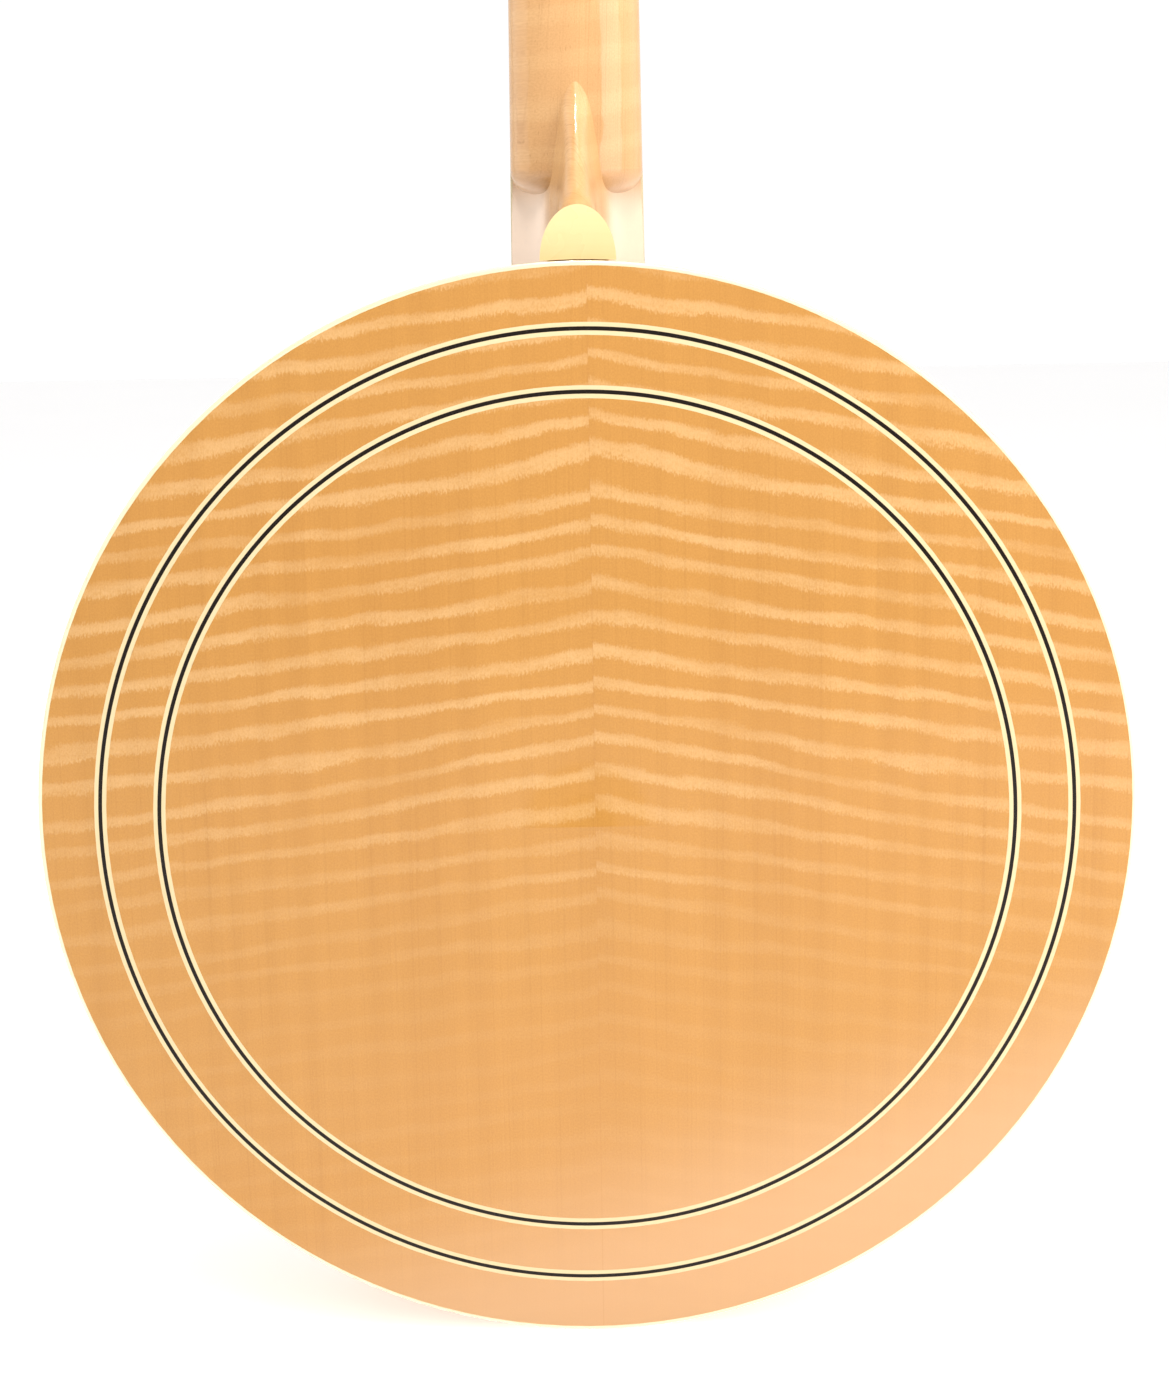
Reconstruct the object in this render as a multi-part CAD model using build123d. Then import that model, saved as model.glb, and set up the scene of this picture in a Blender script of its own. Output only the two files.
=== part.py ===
from build123d import *
import os
from math import cos, pi, radians, sin, sqrt

# Five-string resonator banjo, in millimetres.
#
# Row frame: +X is to the right seen from the front (treble side), +Y points out of the back of the
# resonator, +Z points up the neck. The origin is the lowest point of the resonator, halfway between
# its front and back edges.
#
# Working frames:
# - the pot frame has its origin on the pot's axis, halfway through the resonator wall;
# - the neck frame has Z along the fingerboard and Y running from its playing surface to the back;
# - the peg frame does the same for the peghead, which leans back from the neck.

# ---- Resonator ----------------------------------------------------------------------------
RESONATOR_R = 187.3  # 14 3/4 in across
WALL_HALF = 33.0  # the wall runs from -WALL_HALF (front edge) to +WALL_HALF (back edge)
WALL_INNER_R = 169.6
WALL_COVE = 2.2  # how far the outside of the wall is hollowed at its middle
BACK_CROWN = 10.0  # how far the middle of the back stands behind its edge
BACK_THICK = 5.0
BACK_SEAT_Y = 29.5  # the wall ends here and carries the back plate
BINDING_W = 1.6
BINDING_H = 6.5
RING_RADII = (165.5, 145.1)  # the two inlaid rings in the back
RING_HALF_W = 2.1
RING_BLACK_HALF_W = 0.6
RING_DEPTH = 1.2

# ---- Pot ----------------------------------------------------------------------------------
HEAD_Y = -71.5  # playing surface of the head
HEAD_R = 139.0  # outside of the tone ring, an 11 in head
FILM = 0.3
RIM_R = 138.4
RIM_LIP_R = 142.0
RIM_INNER_R = 119.5
RIM_BACK_Y = 7.0
TONE_SEAT_Y = -58.0  # top of the wooden rim, under the tone ring
SKIRT_END_Y = -48.0
FLANGE_Y = -30.5
FLANGE_BACK_Y = -27.5
FLANGE_R = 168.3
HOOP_TOP_Y = -70.0
HOOP_END_Y = -51.0
HOOP_R = 148.7
HOOP_LIP_R = 140.2
HOOP_STEP_R = 143.3
FLESH_Y = (-62.5, -56.5)
HOOK_COUNT = 24
HOOK_CIRCLE_R = 151.6
HOOK_R = 2.1
NECK_GAP = 24.0  # degrees between the two hooks beside the neck
HOOK_STEP = (360.0 - NECK_GAP) / (HOOK_COUNT - 1)
HOOK_ANGLES = [90.0 + NECK_GAP / 2 + k * HOOK_STEP for k in range(HOOK_COUNT)]
HOOK_TIP_R = 146.6
HOOK_BAR_Y = -70.6
HOOK_END_Y = -15.0
NOTCH_Y = -66.0
NUT_FLATS = 7.9
NUT_LEN = 9.0
SLOT_R = 160.3  # middle radius of the flange openings
SLOT_W = 6.6
SLOT_HALF_SPAN = 4.3  # degrees each side, before the round ends
THUMB_HOOKS = (2, 9, 14, 21)  # the four hooks beside which a thumb screw stands
THUMB_HOLE_R = 3.2
THUMB_SHANK_R = 2.5
LUG_BORE_R = 2.6
THUMB_END_Y = -11.0
LUG_END_Y = -8.5
ROD_R = 4.0
ROD_Y = (-6.0, -40.0)
LAG_END_Z = 165.0

# ---- Neck ---------------------------------------------------------------------------------
SCALE = 669.9  # 26 3/8 in
NECK_BACK_ANGLE = 3.0
BOARD_Y = -73.7  # the playing surface where the neck frame starts
BOARD_Z = 150.0
BRIDGE_Z = -38.0
BRIDGE_H = 16.0
BRIDGE_SLOT = 0.35
BOARD_T = 6.0
BOARD_BIND = 1.5
HEEL_HALF_W = 25.0
EDGE_SLOPE = 0.01118  # each edge of the board closes in by this much per mm
NUT_BASS_X = -12.4
STEP_START = 332.0  # where the neck steps in above the fifth peg
STEP_END = 352.0
STEP_BASS_X = -12.8
SHAFT_S = 62.0  # neck-frame station where the shaft's round back ends, above the heel's hollow flanks
SHAFT_ROUND = 9.0  # length over which that end is rounded off
HEEL_S = 41.5  # station just outside the resonator, from which the heel's nose is measured
HEEL_TONGUE_S = -24.0  # the heel's inner end, before it is cut to the rim
HEEL_RIDGE_HALF = 6.3  # half width of the heel's narrow ridge
HEEL_CAP_HALF = 13.0
HEEL_CAP_LEN = 18.5
HEEL_ROOT_LEN = 97.0  # length of the heel's nose at the board, where it is lost inside the shaft
HEEL_CAP_T = 73.0
CAP_START_S = HEEL_S - 10.0  # the cap covers the heel's nose from here, outside the wall
HEEL_SLOT_HALF = 11.4  # half width of the wall's slot at its bottom
HEEL_SLOT_MOUTH = 12.6
HEEL_NOTCH_Y = -8.0  # the heel passes through the wall in front of this
HEEL_INNER_Y = 6.0  # and reaches this far back beside the rim
HEEL_GAP = 0.6
CAP_THICK = 2.0
NECK_T = 23.5
NECK_THINNING = 3.0
BACK_ROUNDNESS = 2.2  # 2 is an ellipse, more is squarer
FRET_COUNT = 22
NUT_W = 5.6
PEG_TILT = 14.0
PEG_THICK = 15.0
VENEER_T = 1.5
PEG_FACE_T = 4.2  # depth of the peghead face below the board's surface, just behind the nut
TUNER_X = 22.0
TUNER_Z = (54.0, 98.0)
FIFTH_PEG_S = 323.5
FIFTH_PEG_T = 9.6
FIFTH_CASE_R = 3.2
FIFTH_POST_R = 2.2
FIFTH_STEM_R = 1.2
FIFTH_DEPTH = 11.0
TRUSS_T = 12.0
FIFTH_NUT_S = 317.0
FIFTH_NUT_X = -19.4
FIFTH_HOLE_X = -6.4  # where the fifth string meets its post, outward from the neck's side

# ---- Strings ------------------------------------------------------------------------------
BRIDGE_SPACING = 10.5
TAIL_SPACING = 6.0
TAIL_PIN_Z = -118.0
TAIL_FRONT_Z = -105.0
TAIL_STRING_Y = -78.6
STRING_D = {1: 0.25, 2: 0.28, 3: 0.33, 4: 0.51, 5: 0.25}
COURSE = {1: 2, 2: 1, 3: 0, 4: -1, 5: -2}  # each string's place, counted from the middle one
STRING_FIT = 0.03  # clearance round a string where it lies in a slot
NUT_STRING_T = -1.7
POST_R = 3.0
POST_WAIST = 0.6
POST_GAP = 0.3  # the string's run ends this far from the turning post

# ---- Tuners, tailpiece and armrest --------------------------------------------------------
CASE_BACK = PEG_THICK + 13.0
CASE_SLEEVE_R = 4.8
TRUSS_SCREWS = ((0.0, 39.5), (-8.3, 6.0), (8.3, 6.0))  # the cover's screws, in the peg frame
PLATE_Y = (-77.2, -75.0)  # tailpiece base plate, front and back faces
TAIL_REAR_Z = -157.0
HINGE_Y = -79.6
HINGE_Z = -134.5
TAIL_SCREW_Z = -144.2
LID_TOP_Y = -83.6
ARM_ANGLES = (193.0, 231.0)
ARM_LEGS = (197.0, 226.2)
ARM_THICK = 1.4
ARM_FOOT_Y = -47.0
ARM_SCREW_R = 146.4

ORIGIN = Pos(0, 0, RESONATOR_R)  # from the pot frame to the row frame
NECK = Pos(0, BOARD_Y, BOARD_Z) * Rot(-NECK_BACK_ANGLE, 0, 0)
bridge_dz = BRIDGE_Z - BOARD_Z
bridge_dy = HEAD_Y - BRIDGE_H - BOARD_Y
BRIDGE_S = bridge_dy * sin(radians(NECK_BACK_ANGLE)) + bridge_dz * cos(radians(NECK_BACK_ANGLE))
NUT_S = BRIDGE_S + SCALE
PEG_X = (HEEL_HALF_W - EDGE_SLOPE * NUT_S + NUT_BASS_X) / 2  # centre line of the peghead
PEG = NECK * Pos(PEG_X, PEG_FACE_T, NUT_S + NUT_W) * Rot(-PEG_TILT, 0, 0)
FIFTH_SIDE_X = -HEEL_HALF_W + EDGE_SLOPE * FIFTH_PEG_S - 0.1
FIFTH_AT = NECK * Pos(FIFTH_SIDE_X, FIFTH_PEG_T, FIFTH_PEG_S)  # the fifth peg's frame, in the neck's side


# ---- Helpers ------------------------------------------------------------------------------
def save(name, shape):
    """Writes one node, moved from the pot frame to the row frame."""
    placed = ORIGIN * shape
    solids = placed.solids()
    export_step(solids[0] if len(solids) == 1 else Compound(solids), f"parts/{name}.step")


def spun(points, radius=0.0):
    """A ring about the pot's axis from its section, given as (radius, y) corners."""
    if radius:
        outline = FilletPolyline(*points, radius=radius, close=True)
    else:
        outline = Polyline(*points, close=True)
    return revolve(make_face(outline), Axis.Y)


def disc(radius, y0, y1):
    """A plain disc on the pot's axis from y0 to y1."""
    return revolve(make_face(Polyline((0, y0), (radius, y0), (radius, y1), (0, y1), close=True)), Axis.Y)


def ring(inner, outer, y0, y1):
    """A plain ring on the pot's axis."""
    return spun([(inner, y0), (outer, y0), (outer, y1), (inner, y1)])


def around(angle, shape):
    """Turns a shape built at +X about the pot's axis, towards +Z."""
    return Rot(0, -angle, 0) * shape


def rod(start, end, radius):
    """A straight round rod between two points."""
    start, end = Vector(*start), Vector(*end)
    plane = Plane(origin=start, z_dir=end - start)
    return extrude(plane * Circle(radius), amount=(end - start).length)


def along_y(x, z, radius, y0, y1):
    """A round rod parallel to Y."""
    return rod((x, y0, z), (x, y1, z), radius)


def box_between(low, high):
    """A box given by two opposite corners."""
    size = [b - a for a, b in zip(low, high)]
    middle = [(a + b) / 2 for a, b in zip(low, high)]
    return Pos(*middle) * Box(*size)


def hex_bar(x, z, flats, y0, y1, bore=0.0):
    """A hexagonal nut or bar parallel to Y, with a round hole."""
    face = RegularPolygon(flats / sqrt(3), 6)
    if bore:
        face -= Circle(bore)
    return Plane(origin=(x, y0, z), z_dir=(0, 1, 0), x_dir=(1, 0, 0)) * extrude(face, amount=y1 - y0)


def joined(shapes):
    """Fuses a list of shapes."""
    result = shapes[0]
    for shape in shapes[1:]:
        result = result + shape
    return result


def group(shapes):
    """Keeps separate solids together in one node."""
    return Compound([solid for shape in shapes for solid in shape.solids()])


def dome_y(r, rim_r, rim_y, crown):
    """Depth at radius r of a spherical dome whose middle stands crown behind its rim."""
    sphere_r = (rim_r**2 + crown**2) / (2 * crown)
    return rim_y + crown - sphere_r + sqrt(sphere_r**2 - r**2)


def back_y(r):
    """The outside of the resonator's back at radius r."""
    return dome_y(r, RESONATOR_R, WALL_HALF, BACK_CROWN)


def back_inside_y(r):
    """The inside of the resonator's back at radius r."""
    return dome_y(r, WALL_INNER_R, BACK_SEAT_Y, WALL_HALF + BACK_CROWN - BACK_THICK - BACK_SEAT_Y)


# ---- Resonator ----------------------------------------------------------------------------
def heel_slot():
    """The slot in the top of the resonator wall that the heel passes through."""
    mouth, half, bottom = HEEL_SLOT_MOUTH, HEEL_SLOT_HALF, HEEL_NOTCH_Y + HEEL_GAP
    front = -WALL_HALF - 5
    outline = FilletPolyline(
        (-mouth, front), (-mouth, -WALL_HALF), (-half, bottom),
        (half, bottom), (mouth, -WALL_HALF), (mouth, front),
        radius=[2.0, 1.0, 1.0, 2.0],
    )
    face = make_face([outline, Line((mouth, front), (-mouth, front))])
    return extrude(Pos(0, 0, RIM_LIP_R) * face, amount=80)


def resonator_wall():
    edge = RESONATOR_R - BINDING_W
    back_step = WALL_HALF - BINDING_H
    cove = ThreePointArc(
        (RESONATOR_R, -WALL_HALF + BINDING_H), (RESONATOR_R - WALL_COVE, 0), (RESONATOR_R, back_step)
    )
    rest = Polyline(
        (RESONATOR_R, back_step), (edge, back_step), (edge, BACK_SEAT_Y), (WALL_INNER_R, BACK_SEAT_Y),
        (WALL_INNER_R, -WALL_HALF + 1.0), (WALL_INNER_R + 1.0, -WALL_HALF), (edge, -WALL_HALF),
        (edge, -WALL_HALF + BINDING_H), (RESONATOR_R, -WALL_HALF + BINDING_H),
    )
    wall = revolve(make_face([cove, rest]), Axis.Y)
    screw_holes = joined([lug_screw(angle, side) for angle in thumb_angles() for side in (-1, 1)])
    return wall - heel_slot() - screw_holes


def domed(inner_r, outer_r, depth):
    """A ring of the back plate between two radii, under the domed surface."""
    middle = (inner_r + outer_r) / 2
    top = ThreePointArc((inner_r, back_y(inner_r)), (middle, back_y(middle)), (outer_r, back_y(outer_r)))
    under = Polyline(
        (outer_r, back_y(outer_r)), (outer_r, back_y(outer_r) - depth),
        (inner_r, back_y(inner_r) - depth), (inner_r, back_y(inner_r)),
    )
    return revolve(make_face([top, under]), Axis.Y)


def resonator_back():
    edge, half_r = RESONATOR_R - BINDING_W, WALL_INNER_R / 2
    outer = ThreePointArc((0, back_y(0)), (half_r, back_y(half_r)), (edge, back_y(edge)))
    seat = Polyline((edge, back_y(edge)), (edge, BACK_SEAT_Y), (WALL_INNER_R, BACK_SEAT_Y))
    inner = ThreePointArc((WALL_INNER_R, BACK_SEAT_Y), (half_r, back_inside_y(half_r)), (0, back_inside_y(0)))
    centre = Line((0, back_inside_y(0)), (0, back_y(0)))
    plate = revolve(make_face([outer, seat, inner, centre]), Axis.Y)
    for radius in RING_RADII:
        plate -= domed(radius - RING_HALF_W, radius + RING_HALF_W, RING_DEPTH)
    return plate


def ring_inlay_cream():
    lines = []
    for radius in RING_RADII:
        lines.append(domed(radius - RING_HALF_W, radius - RING_BLACK_HALF_W, RING_DEPTH))
        lines.append(domed(radius + RING_BLACK_HALF_W, radius + RING_HALF_W, RING_DEPTH))
    return group(lines)


def ring_inlay_black():
    return group([domed(r - RING_BLACK_HALF_W, r + RING_BLACK_HALF_W, RING_DEPTH) for r in RING_RADII])


def edge_binding(side):
    """The plastic strip let into an outer corner of the resonator: side is 1 at the back, -1 in front."""
    inner = RESONATOR_R - BINDING_W
    low, high = WALL_HALF - BINDING_H, WALL_HALF
    corners = [(inner, low), (RESONATOR_R, low), (RESONATOR_R, high), (inner, high)]
    outline = FilletPolyline(*corners, radius=[0, 0, 1.0, 0], close=True)
    strip = revolve(make_face(outline), Axis.Y)
    return strip if side > 0 else mirror(strip, Plane.XZ) - heel_slot()


def thumb_angles():
    return [HOOK_ANGLES[k] for k in THUMB_HOOKS]


def lug_screw(angle, side):
    """One of the two wood screws that hold a wall lug, running outward into the wall."""
    half_spread, y, shank_r, head_r, head_len, bite = 7.5, -17.0, 1.6, 3.0, 2.0, 9.0
    start_r, z = WALL_INNER_R - 10.0, side * half_spread
    shank = rod((start_r, y, z), (WALL_INNER_R + bite, y, z), shank_r)
    head = rod((start_r, y, z), (start_r + head_len, y, z), head_r)
    return around(angle, shank + head)


def wall_lugs():
    lugs = []
    for angle in thumb_angles():
        low = (WALL_INNER_R - 13.0, FLANGE_BACK_Y, -12.0)
        high = (WALL_INNER_R + 0.6, LUG_END_Y, 12.0)
        block = box_between(low, high)
        block = fillet(block.edges().filter_by(Axis.Y).sort_by(Axis.X)[:2], 3.0)
        block -= along_y(SLOT_R, 0, LUG_BORE_R, FLANGE_BACK_Y, LUG_END_Y)
        lug = around(angle, block) & disc(WALL_INNER_R, -60, 20)
        lug -= joined([lug_screw(angle, side) for side in (-1, 1)])
        lugs.append(lug)
    return group(lugs)


def wall_lug_screws():
    return group([lug_screw(angle, side) for angle in thumb_angles() for side in (-1, 1)])


def thumb_screw(angle):
    """A resonator thumb screw: knurled head on the flange, shank down into the wall lug."""
    head_r, collar_r, flutes = 6.2, 4.2, 18
    collar_y, head_low, head_high = FLANGE_Y - 0.1, FLANGE_Y - 3.0, FLANGE_Y - 9.5
    head = along_y(SLOT_R, 0, head_r, head_low, head_high)
    head = fillet(head.edges().sort_by(Axis.Y)[0], 1.0)
    grooves = [
        along_y(SLOT_R + (head_r + 0.3) * cos(2 * pi * k / flutes), (head_r + 0.3) * sin(2 * pi * k / flutes),
                0.7, head_low - 2.0, head_high)
        for k in range(flutes)
    ]
    collar = along_y(SLOT_R, 0, collar_r, collar_y, head_low - 1.0)
    shank = along_y(SLOT_R, 0, THUMB_SHANK_R, head_low, THUMB_END_Y)
    return around(angle, (head - grooves) + collar + shank)


# ---- Pot ----------------------------------------------------------------------------------
def rod_holes():
    """The holes that the neck bolts and tail screws pass through, along Z."""
    return joined([rod((0, y, side * 110), (0, y, side * 160), ROD_R) for y in ROD_Y for side in (-1, 1)])


def rim():
    wood = spun([
        (RIM_INNER_R, TONE_SEAT_Y), (RIM_R - 2.2, TONE_SEAT_Y), (RIM_R - 2.2, SKIRT_END_Y),
        (RIM_R, SKIRT_END_Y), (RIM_R, FLANGE_BACK_Y), (RIM_LIP_R, FLANGE_BACK_Y),
        (RIM_LIP_R, RIM_BACK_Y - 2.0), (RIM_LIP_R - 2.0, RIM_BACK_Y), (RIM_INNER_R + 1.0, RIM_BACK_Y),
        (RIM_INNER_R, RIM_BACK_Y - 1.0),
    ])
    return wood - rod_holes()


def tone_ring():
    """Flat-head cast ring: a rounded crown, a thin skirt outside and a lip inside the rim."""
    outline = FilletPolyline(
        (HEAD_R - 17.0, TONE_SEAT_Y), (HEAD_R - 17.0, -66.0), (HEAD_R - 11.0, -68.0),
        (HEAD_R - 6.0, HEAD_Y + FILM), (HEAD_R, HEAD_Y + FILM), (HEAD_R, SKIRT_END_Y),
        (RIM_R - 2.2, SKIRT_END_Y), (RIM_R - 2.2, TONE_SEAT_Y),
        radius=[0, 1.5, 2.0, 2.0, 1.6, 0, 0, 0], close=True,
    )
    return revolve(make_face(outline), Axis.Y)


def head_membrane():
    """The film: flat playing surface, then a short collar outside the tone ring."""
    outer = HEAD_R + 0.05 + FILM
    outline = FilletPolyline(
        (0, HEAD_Y), (outer, HEAD_Y), (outer, FLESH_Y[0]), (outer - FILM, FLESH_Y[0]),
        (outer - FILM, HEAD_Y + FILM), (0, HEAD_Y + FILM),
        radius=[0, 1.7, 0, 0, 1.4, 0], close=True,
    )
    return revolve(make_face(outline), Axis.Y)


def flesh_hoop():
    return spun([(HEAD_R + 0.1, FLESH_Y[0]), (HOOP_STEP_R - 0.4, FLESH_Y[0]),
                 (HOOP_STEP_R - 0.4, FLESH_Y[1]), (HEAD_R + 0.1, FLESH_Y[1])], 0.6)


def neck_gap_in_hoop():
    """Where the hoop's top edge is cut down to let the fingerboard pass."""
    half = HEEL_HALF_W + 1.8
    return box_between((-half, HOOP_TOP_Y - 5, 120), (half, -66.6, 160))


def tension_hoop():
    outline = FilletPolyline(
        (HOOP_LIP_R, HOOP_TOP_Y), (HOOP_R, HOOP_TOP_Y), (HOOP_R, HOOP_END_Y), (HOOP_STEP_R, HOOP_END_Y),
        (HOOP_STEP_R, FLESH_Y[0]), (HOOP_LIP_R, FLESH_Y[0]),
        radius=[1.2, 1.5, 1.2, 0.6, 0, 0.4], close=True,
    )
    hoop = revolve(make_face(outline), Axis.Y)
    notch = box_between((HOOK_TIP_R - HOOK_R - 0.3, HOOP_TOP_Y - 5, -2.5), (HOOP_R + 2, NOTCH_Y, 2.5))
    return hoop - [around(angle, notch) for angle in HOOK_ANGLES] - neck_gap_in_hoop()


def hook(angle):
    """A round hook: threaded shank through the flange, bent over the hoop into its notch."""
    route = FilletPolyline(
        (HOOK_CIRCLE_R, HOOK_END_Y, 0), (HOOK_CIRCLE_R, HOOK_BAR_Y, 0),
        (HOOK_TIP_R, HOOK_BAR_Y, 0), (HOOK_TIP_R, NOTCH_Y - 0.3, 0), radius=2.4,
    )
    section = Plane(origin=(HOOK_CIRCLE_R, HOOK_END_Y, 0), z_dir=(0, -1, 0)) * Circle(HOOK_R)
    return around(angle, sweep(section, path=route))


def bracket_hooks():
    return group([hook(angle) for angle in HOOK_ANGLES])


def hook_nut(angle):
    nut = hex_bar(HOOK_CIRCLE_R, 0, NUT_FLATS, FLANGE_BACK_Y, FLANGE_BACK_Y + NUT_LEN, HOOK_R + 0.05)
    return around(angle, nut)


def bracket_nuts():
    return group([hook_nut(angle) for angle in HOOK_ANGLES])


def flange_opening(middle):
    """One long opening with round ends, between two hooks."""
    arc = CenterArc((0, 0), SLOT_R, middle - SLOT_HALF_SPAN, 2 * SLOT_HALF_SPAN)
    return extrude(Plane.XZ * SlotArc(arc, SLOT_W), amount=60, both=True)


def flange():
    plate = spun([
        (RIM_R + 0.2, -33.0), (143.5, -33.0), (145.5, FLANGE_Y), (164.8, FLANGE_Y), (166.2, -32.0),
        (FLANGE_R - 0.6, -32.0), (FLANGE_R, -31.4), (FLANGE_R, FLANGE_BACK_Y), (RIM_R + 0.2, FLANGE_BACK_Y),
    ])
    middles = [a + HOOK_STEP / 2 for a in HOOK_ANGLES[:-1]]
    plate -= [flange_opening(m) for m in middles]
    plate -= [around(a, along_y(HOOK_CIRCLE_R, 0, HOOK_R + 0.3, -40, -20)) for a in HOOK_ANGLES + [270.0]]
    plate -= [around(a, along_y(SLOT_R, 0, THUMB_HOLE_R, -40, -20)) for a in thumb_angles()]
    return plate


def coordinator_rods():
    """Two rods across the pot, from the neck bolts to the tail screws."""
    bars = [rod((0, y, -RIM_INNER_R), (0, y, RIM_INNER_R), ROD_R + 0.8) for y in ROD_Y]
    return group([bar & disc(RIM_INNER_R, bar_y - 10, bar_y + 10) for bar, bar_y in zip(bars, ROD_Y)])


def tail_screws():
    """The screws that hold the coordinator rods at the tail, each with a round head outside the rim."""
    head_r, head_len, seat = 6.0, 4.0, 2.0
    screws = []
    for y, surface in zip(ROD_Y, (RIM_LIP_R, RIM_R)):
        shank = rod((0, y, -RIM_INNER_R), (0, y, -surface), ROD_R)
        head = rod((0, y, -surface + seat), (0, y, -surface - head_len), head_r)
        screws.append(shank + (head - disc(surface, -60, 10)))
    return group(screws)


def neck_lag_bolts():
    """Bolts from the rim into the heel."""
    return group([rod((0, y, RIM_INNER_R), (0, y, LAG_END_Z), ROD_R) for y in ROD_Y])


# ---- Neck ---------------------------------------------------------------------------------
def treble_x(s):
    return HEEL_HALF_W - EDGE_SLOPE * s


def bass_x(s):
    """Bass edge of the neck: wide up to the fifth peg, then an S-curve in to the four-string width."""
    wide = -HEEL_HALF_W + EDGE_SLOPE * s
    narrow = STEP_BASS_X + (NUT_BASS_X - STEP_BASS_X) * (s - STEP_END) / (NUT_S - STEP_END)
    k = min(1.0, max(0.0, (s - STEP_START) / (STEP_END - STEP_START)))
    k = k * k * (3 - 2 * k)
    return wide + (narrow - wide) * k


def depth_at(s):
    """Depth of the shaft's back below the playing surface."""
    return NECK_T - NECK_THINNING * s / NUT_S


def section(s, shrink=1.0):
    """The shaft's wood at one station, as a face in the neck frame: flat under the board, round behind."""
    left, right = bass_x(s), treble_x(s)
    middle, half = (left + right) / 2, shrink * (right - left) / 2
    rise = shrink * (depth_at(s) - BOARD_T)
    treble = []
    for u in (0.0, 0.12, 0.26, 0.42, 0.58, 0.72, 0.83, 0.91, 0.965, 0.992):
        treble.append((half * sqrt(1 - u**BACK_ROUNDNESS), BOARD_T + rise * u))
    back = [(middle + w, t, s) for w, t in treble] + [(middle, BOARD_T + rise, s)]
    back += [(middle - w, t, s) for w, t in reversed(treble)]
    curve = Spline(*back)
    return make_face([curve, Line(curve @ 1, curve @ 0)])


def lofted(stations):
    return loft([section(s) for s in stations])


def shaft_end():
    """The round lower end of the shaft, overhanging the heel's hollow flanks on both sides."""
    sections = []
    for share in (0.0, 0.06, 0.15, 0.3, 0.5, 0.75, 1.0):
        lost = (1 - sqrt(1 - (1 - share) ** 2)) * 0.4
        sections.append(section(SHAFT_S + SHAFT_ROUND * share, 1 - lost))
    return loft(sections)


def heel_half(u):
    """Half width of the heel at share u of its depth: hollow between the board and the cap."""
    root_half = HEEL_HALF_W - EDGE_SLOPE * SHAFT_S
    return (HEEL_RIDGE_HALF + (root_half - HEEL_RIDGE_HALF) * (1 - u) ** 6
            + (HEEL_CAP_HALF - HEEL_RIDGE_HALF) * u**3)


def heel_slice(u):
    """The heel's outline at share u of its depth: straight sides and an elliptic nose."""
    t = BOARD_T + (HEEL_CAP_T - BOARD_T) * u
    half = heel_half(u)
    length = HEEL_CAP_LEN + (HEEL_ROOT_LEN - HEEL_CAP_LEN) * (1 - u) ** 2.2
    turns = [pi * k / 10 for k in range(11)]
    nose = Spline(*[(half * cos(a), t, HEEL_S + length * sin(a)) for a in turns])
    sides = Polyline(nose @ 1, (-half, t, HEEL_TONGUE_S), (half, t, HEEL_TONGUE_S), nose @ 0)
    return make_face([nose, sides])


def peghead_outline(inset=0.0):
    """Half-outline points (x, z) of the peghead, mirrored: a waisted shape with a low crown."""
    half = (treble_x(NUT_S) - NUT_BASS_X) / 2
    side = [(half, 0), (half + 1.5, 9), (half + 11.0, 27), (36.0, 47), (36.5, 62), (32.2, 80),
            (33.2, 98), (37.0, 115), (35.5, 131), (25.0, 139.0), (12.0, 142.5)]
    side = [(x - inset, z) for x, z in side]
    crown = [(0, 147.0 - inset)]
    return side, crown


def peghead_face(inset=0.0):
    side, crown = peghead_outline(inset)
    left = [(-x, z) for x, z in reversed(side)]
    curve = Spline(*side, *crown, *left)
    return make_face([curve, Line(curve @ 1, curve @ 0)])


def peg_plate(y0, y1, inset=0.0):
    """The peghead's outline between two depths below its face, in the peg frame."""
    face = Plane(origin=(0, y0, 0), x_dir=(1, 0, 0), z_dir=(0, -1, 0)) * peghead_face(inset)
    return extrude(face, amount=-(y1 - y0))


def tuner_spots():
    """Each tuner's string number and place (x, z) in the peg frame."""
    return {1: (TUNER_X, TUNER_Z[0]), 2: (TUNER_X, TUNER_Z[1]),
            3: (-TUNER_X, TUNER_Z[1]), 4: (-TUNER_X, TUNER_Z[0])}


def truss_pocket():
    """The hollow under the truss rod cover, in the peg frame."""
    pocket = box_between((-5.0, -0.5, 3.0), (5.0, 9.5, 34.0))
    return fillet(pocket.edges().filter_by(Axis.Y).sort_by(Axis.Z)[-2:], 4.9)


def heel_blank():
    """The heel with its tongue, shaped to pass through the wall's slot and meet the rim."""
    slices = (0.0, 0.05, 0.11, 0.18, 0.27, 0.38, 0.5, 0.63, 0.76, 0.88, 1.0)
    tail = box_between((-HEEL_CAP_HALF, HEEL_CAP_T, HEEL_TONGUE_S), (HEEL_CAP_HALF, HEEL_CAP_T + 6.0, CAP_START_S))
    blank = NECK * (loft([heel_slice(u) for u in slices]) + tail)
    blank -= ring(WALL_INNER_R - 0.7, RESONATOR_R + HEEL_GAP, HEEL_NOTCH_Y, 60)
    blank -= disc(WALL_INNER_R - 0.6, HEEL_INNER_Y, 60)
    blank -= disc(HEAD_R + 0.4, -120, FLANGE_BACK_Y)
    blank -= disc(RIM_LIP_R + 0.05, FLANGE_BACK_Y - 1, 40)
    blank -= disc(HOOP_R + 0.5, -120, HOOP_END_Y + 0.5)
    return blank - disc(FLANGE_R + 0.4, -33.6, FLANGE_BACK_Y + 0.5)


def cap_slab(depth):
    """Everything in the heel's nose that lies behind a depth below the playing surface."""
    return NECK * box_between((-60, depth, CAP_START_S), (60, 160, HEEL_S + HEEL_ROOT_LEN))


def truss_x(s):
    """The truss rod runs slightly aslant, from the middle of the heel to the middle of the peghead."""
    return PEG_X * s / NUT_S


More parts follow.
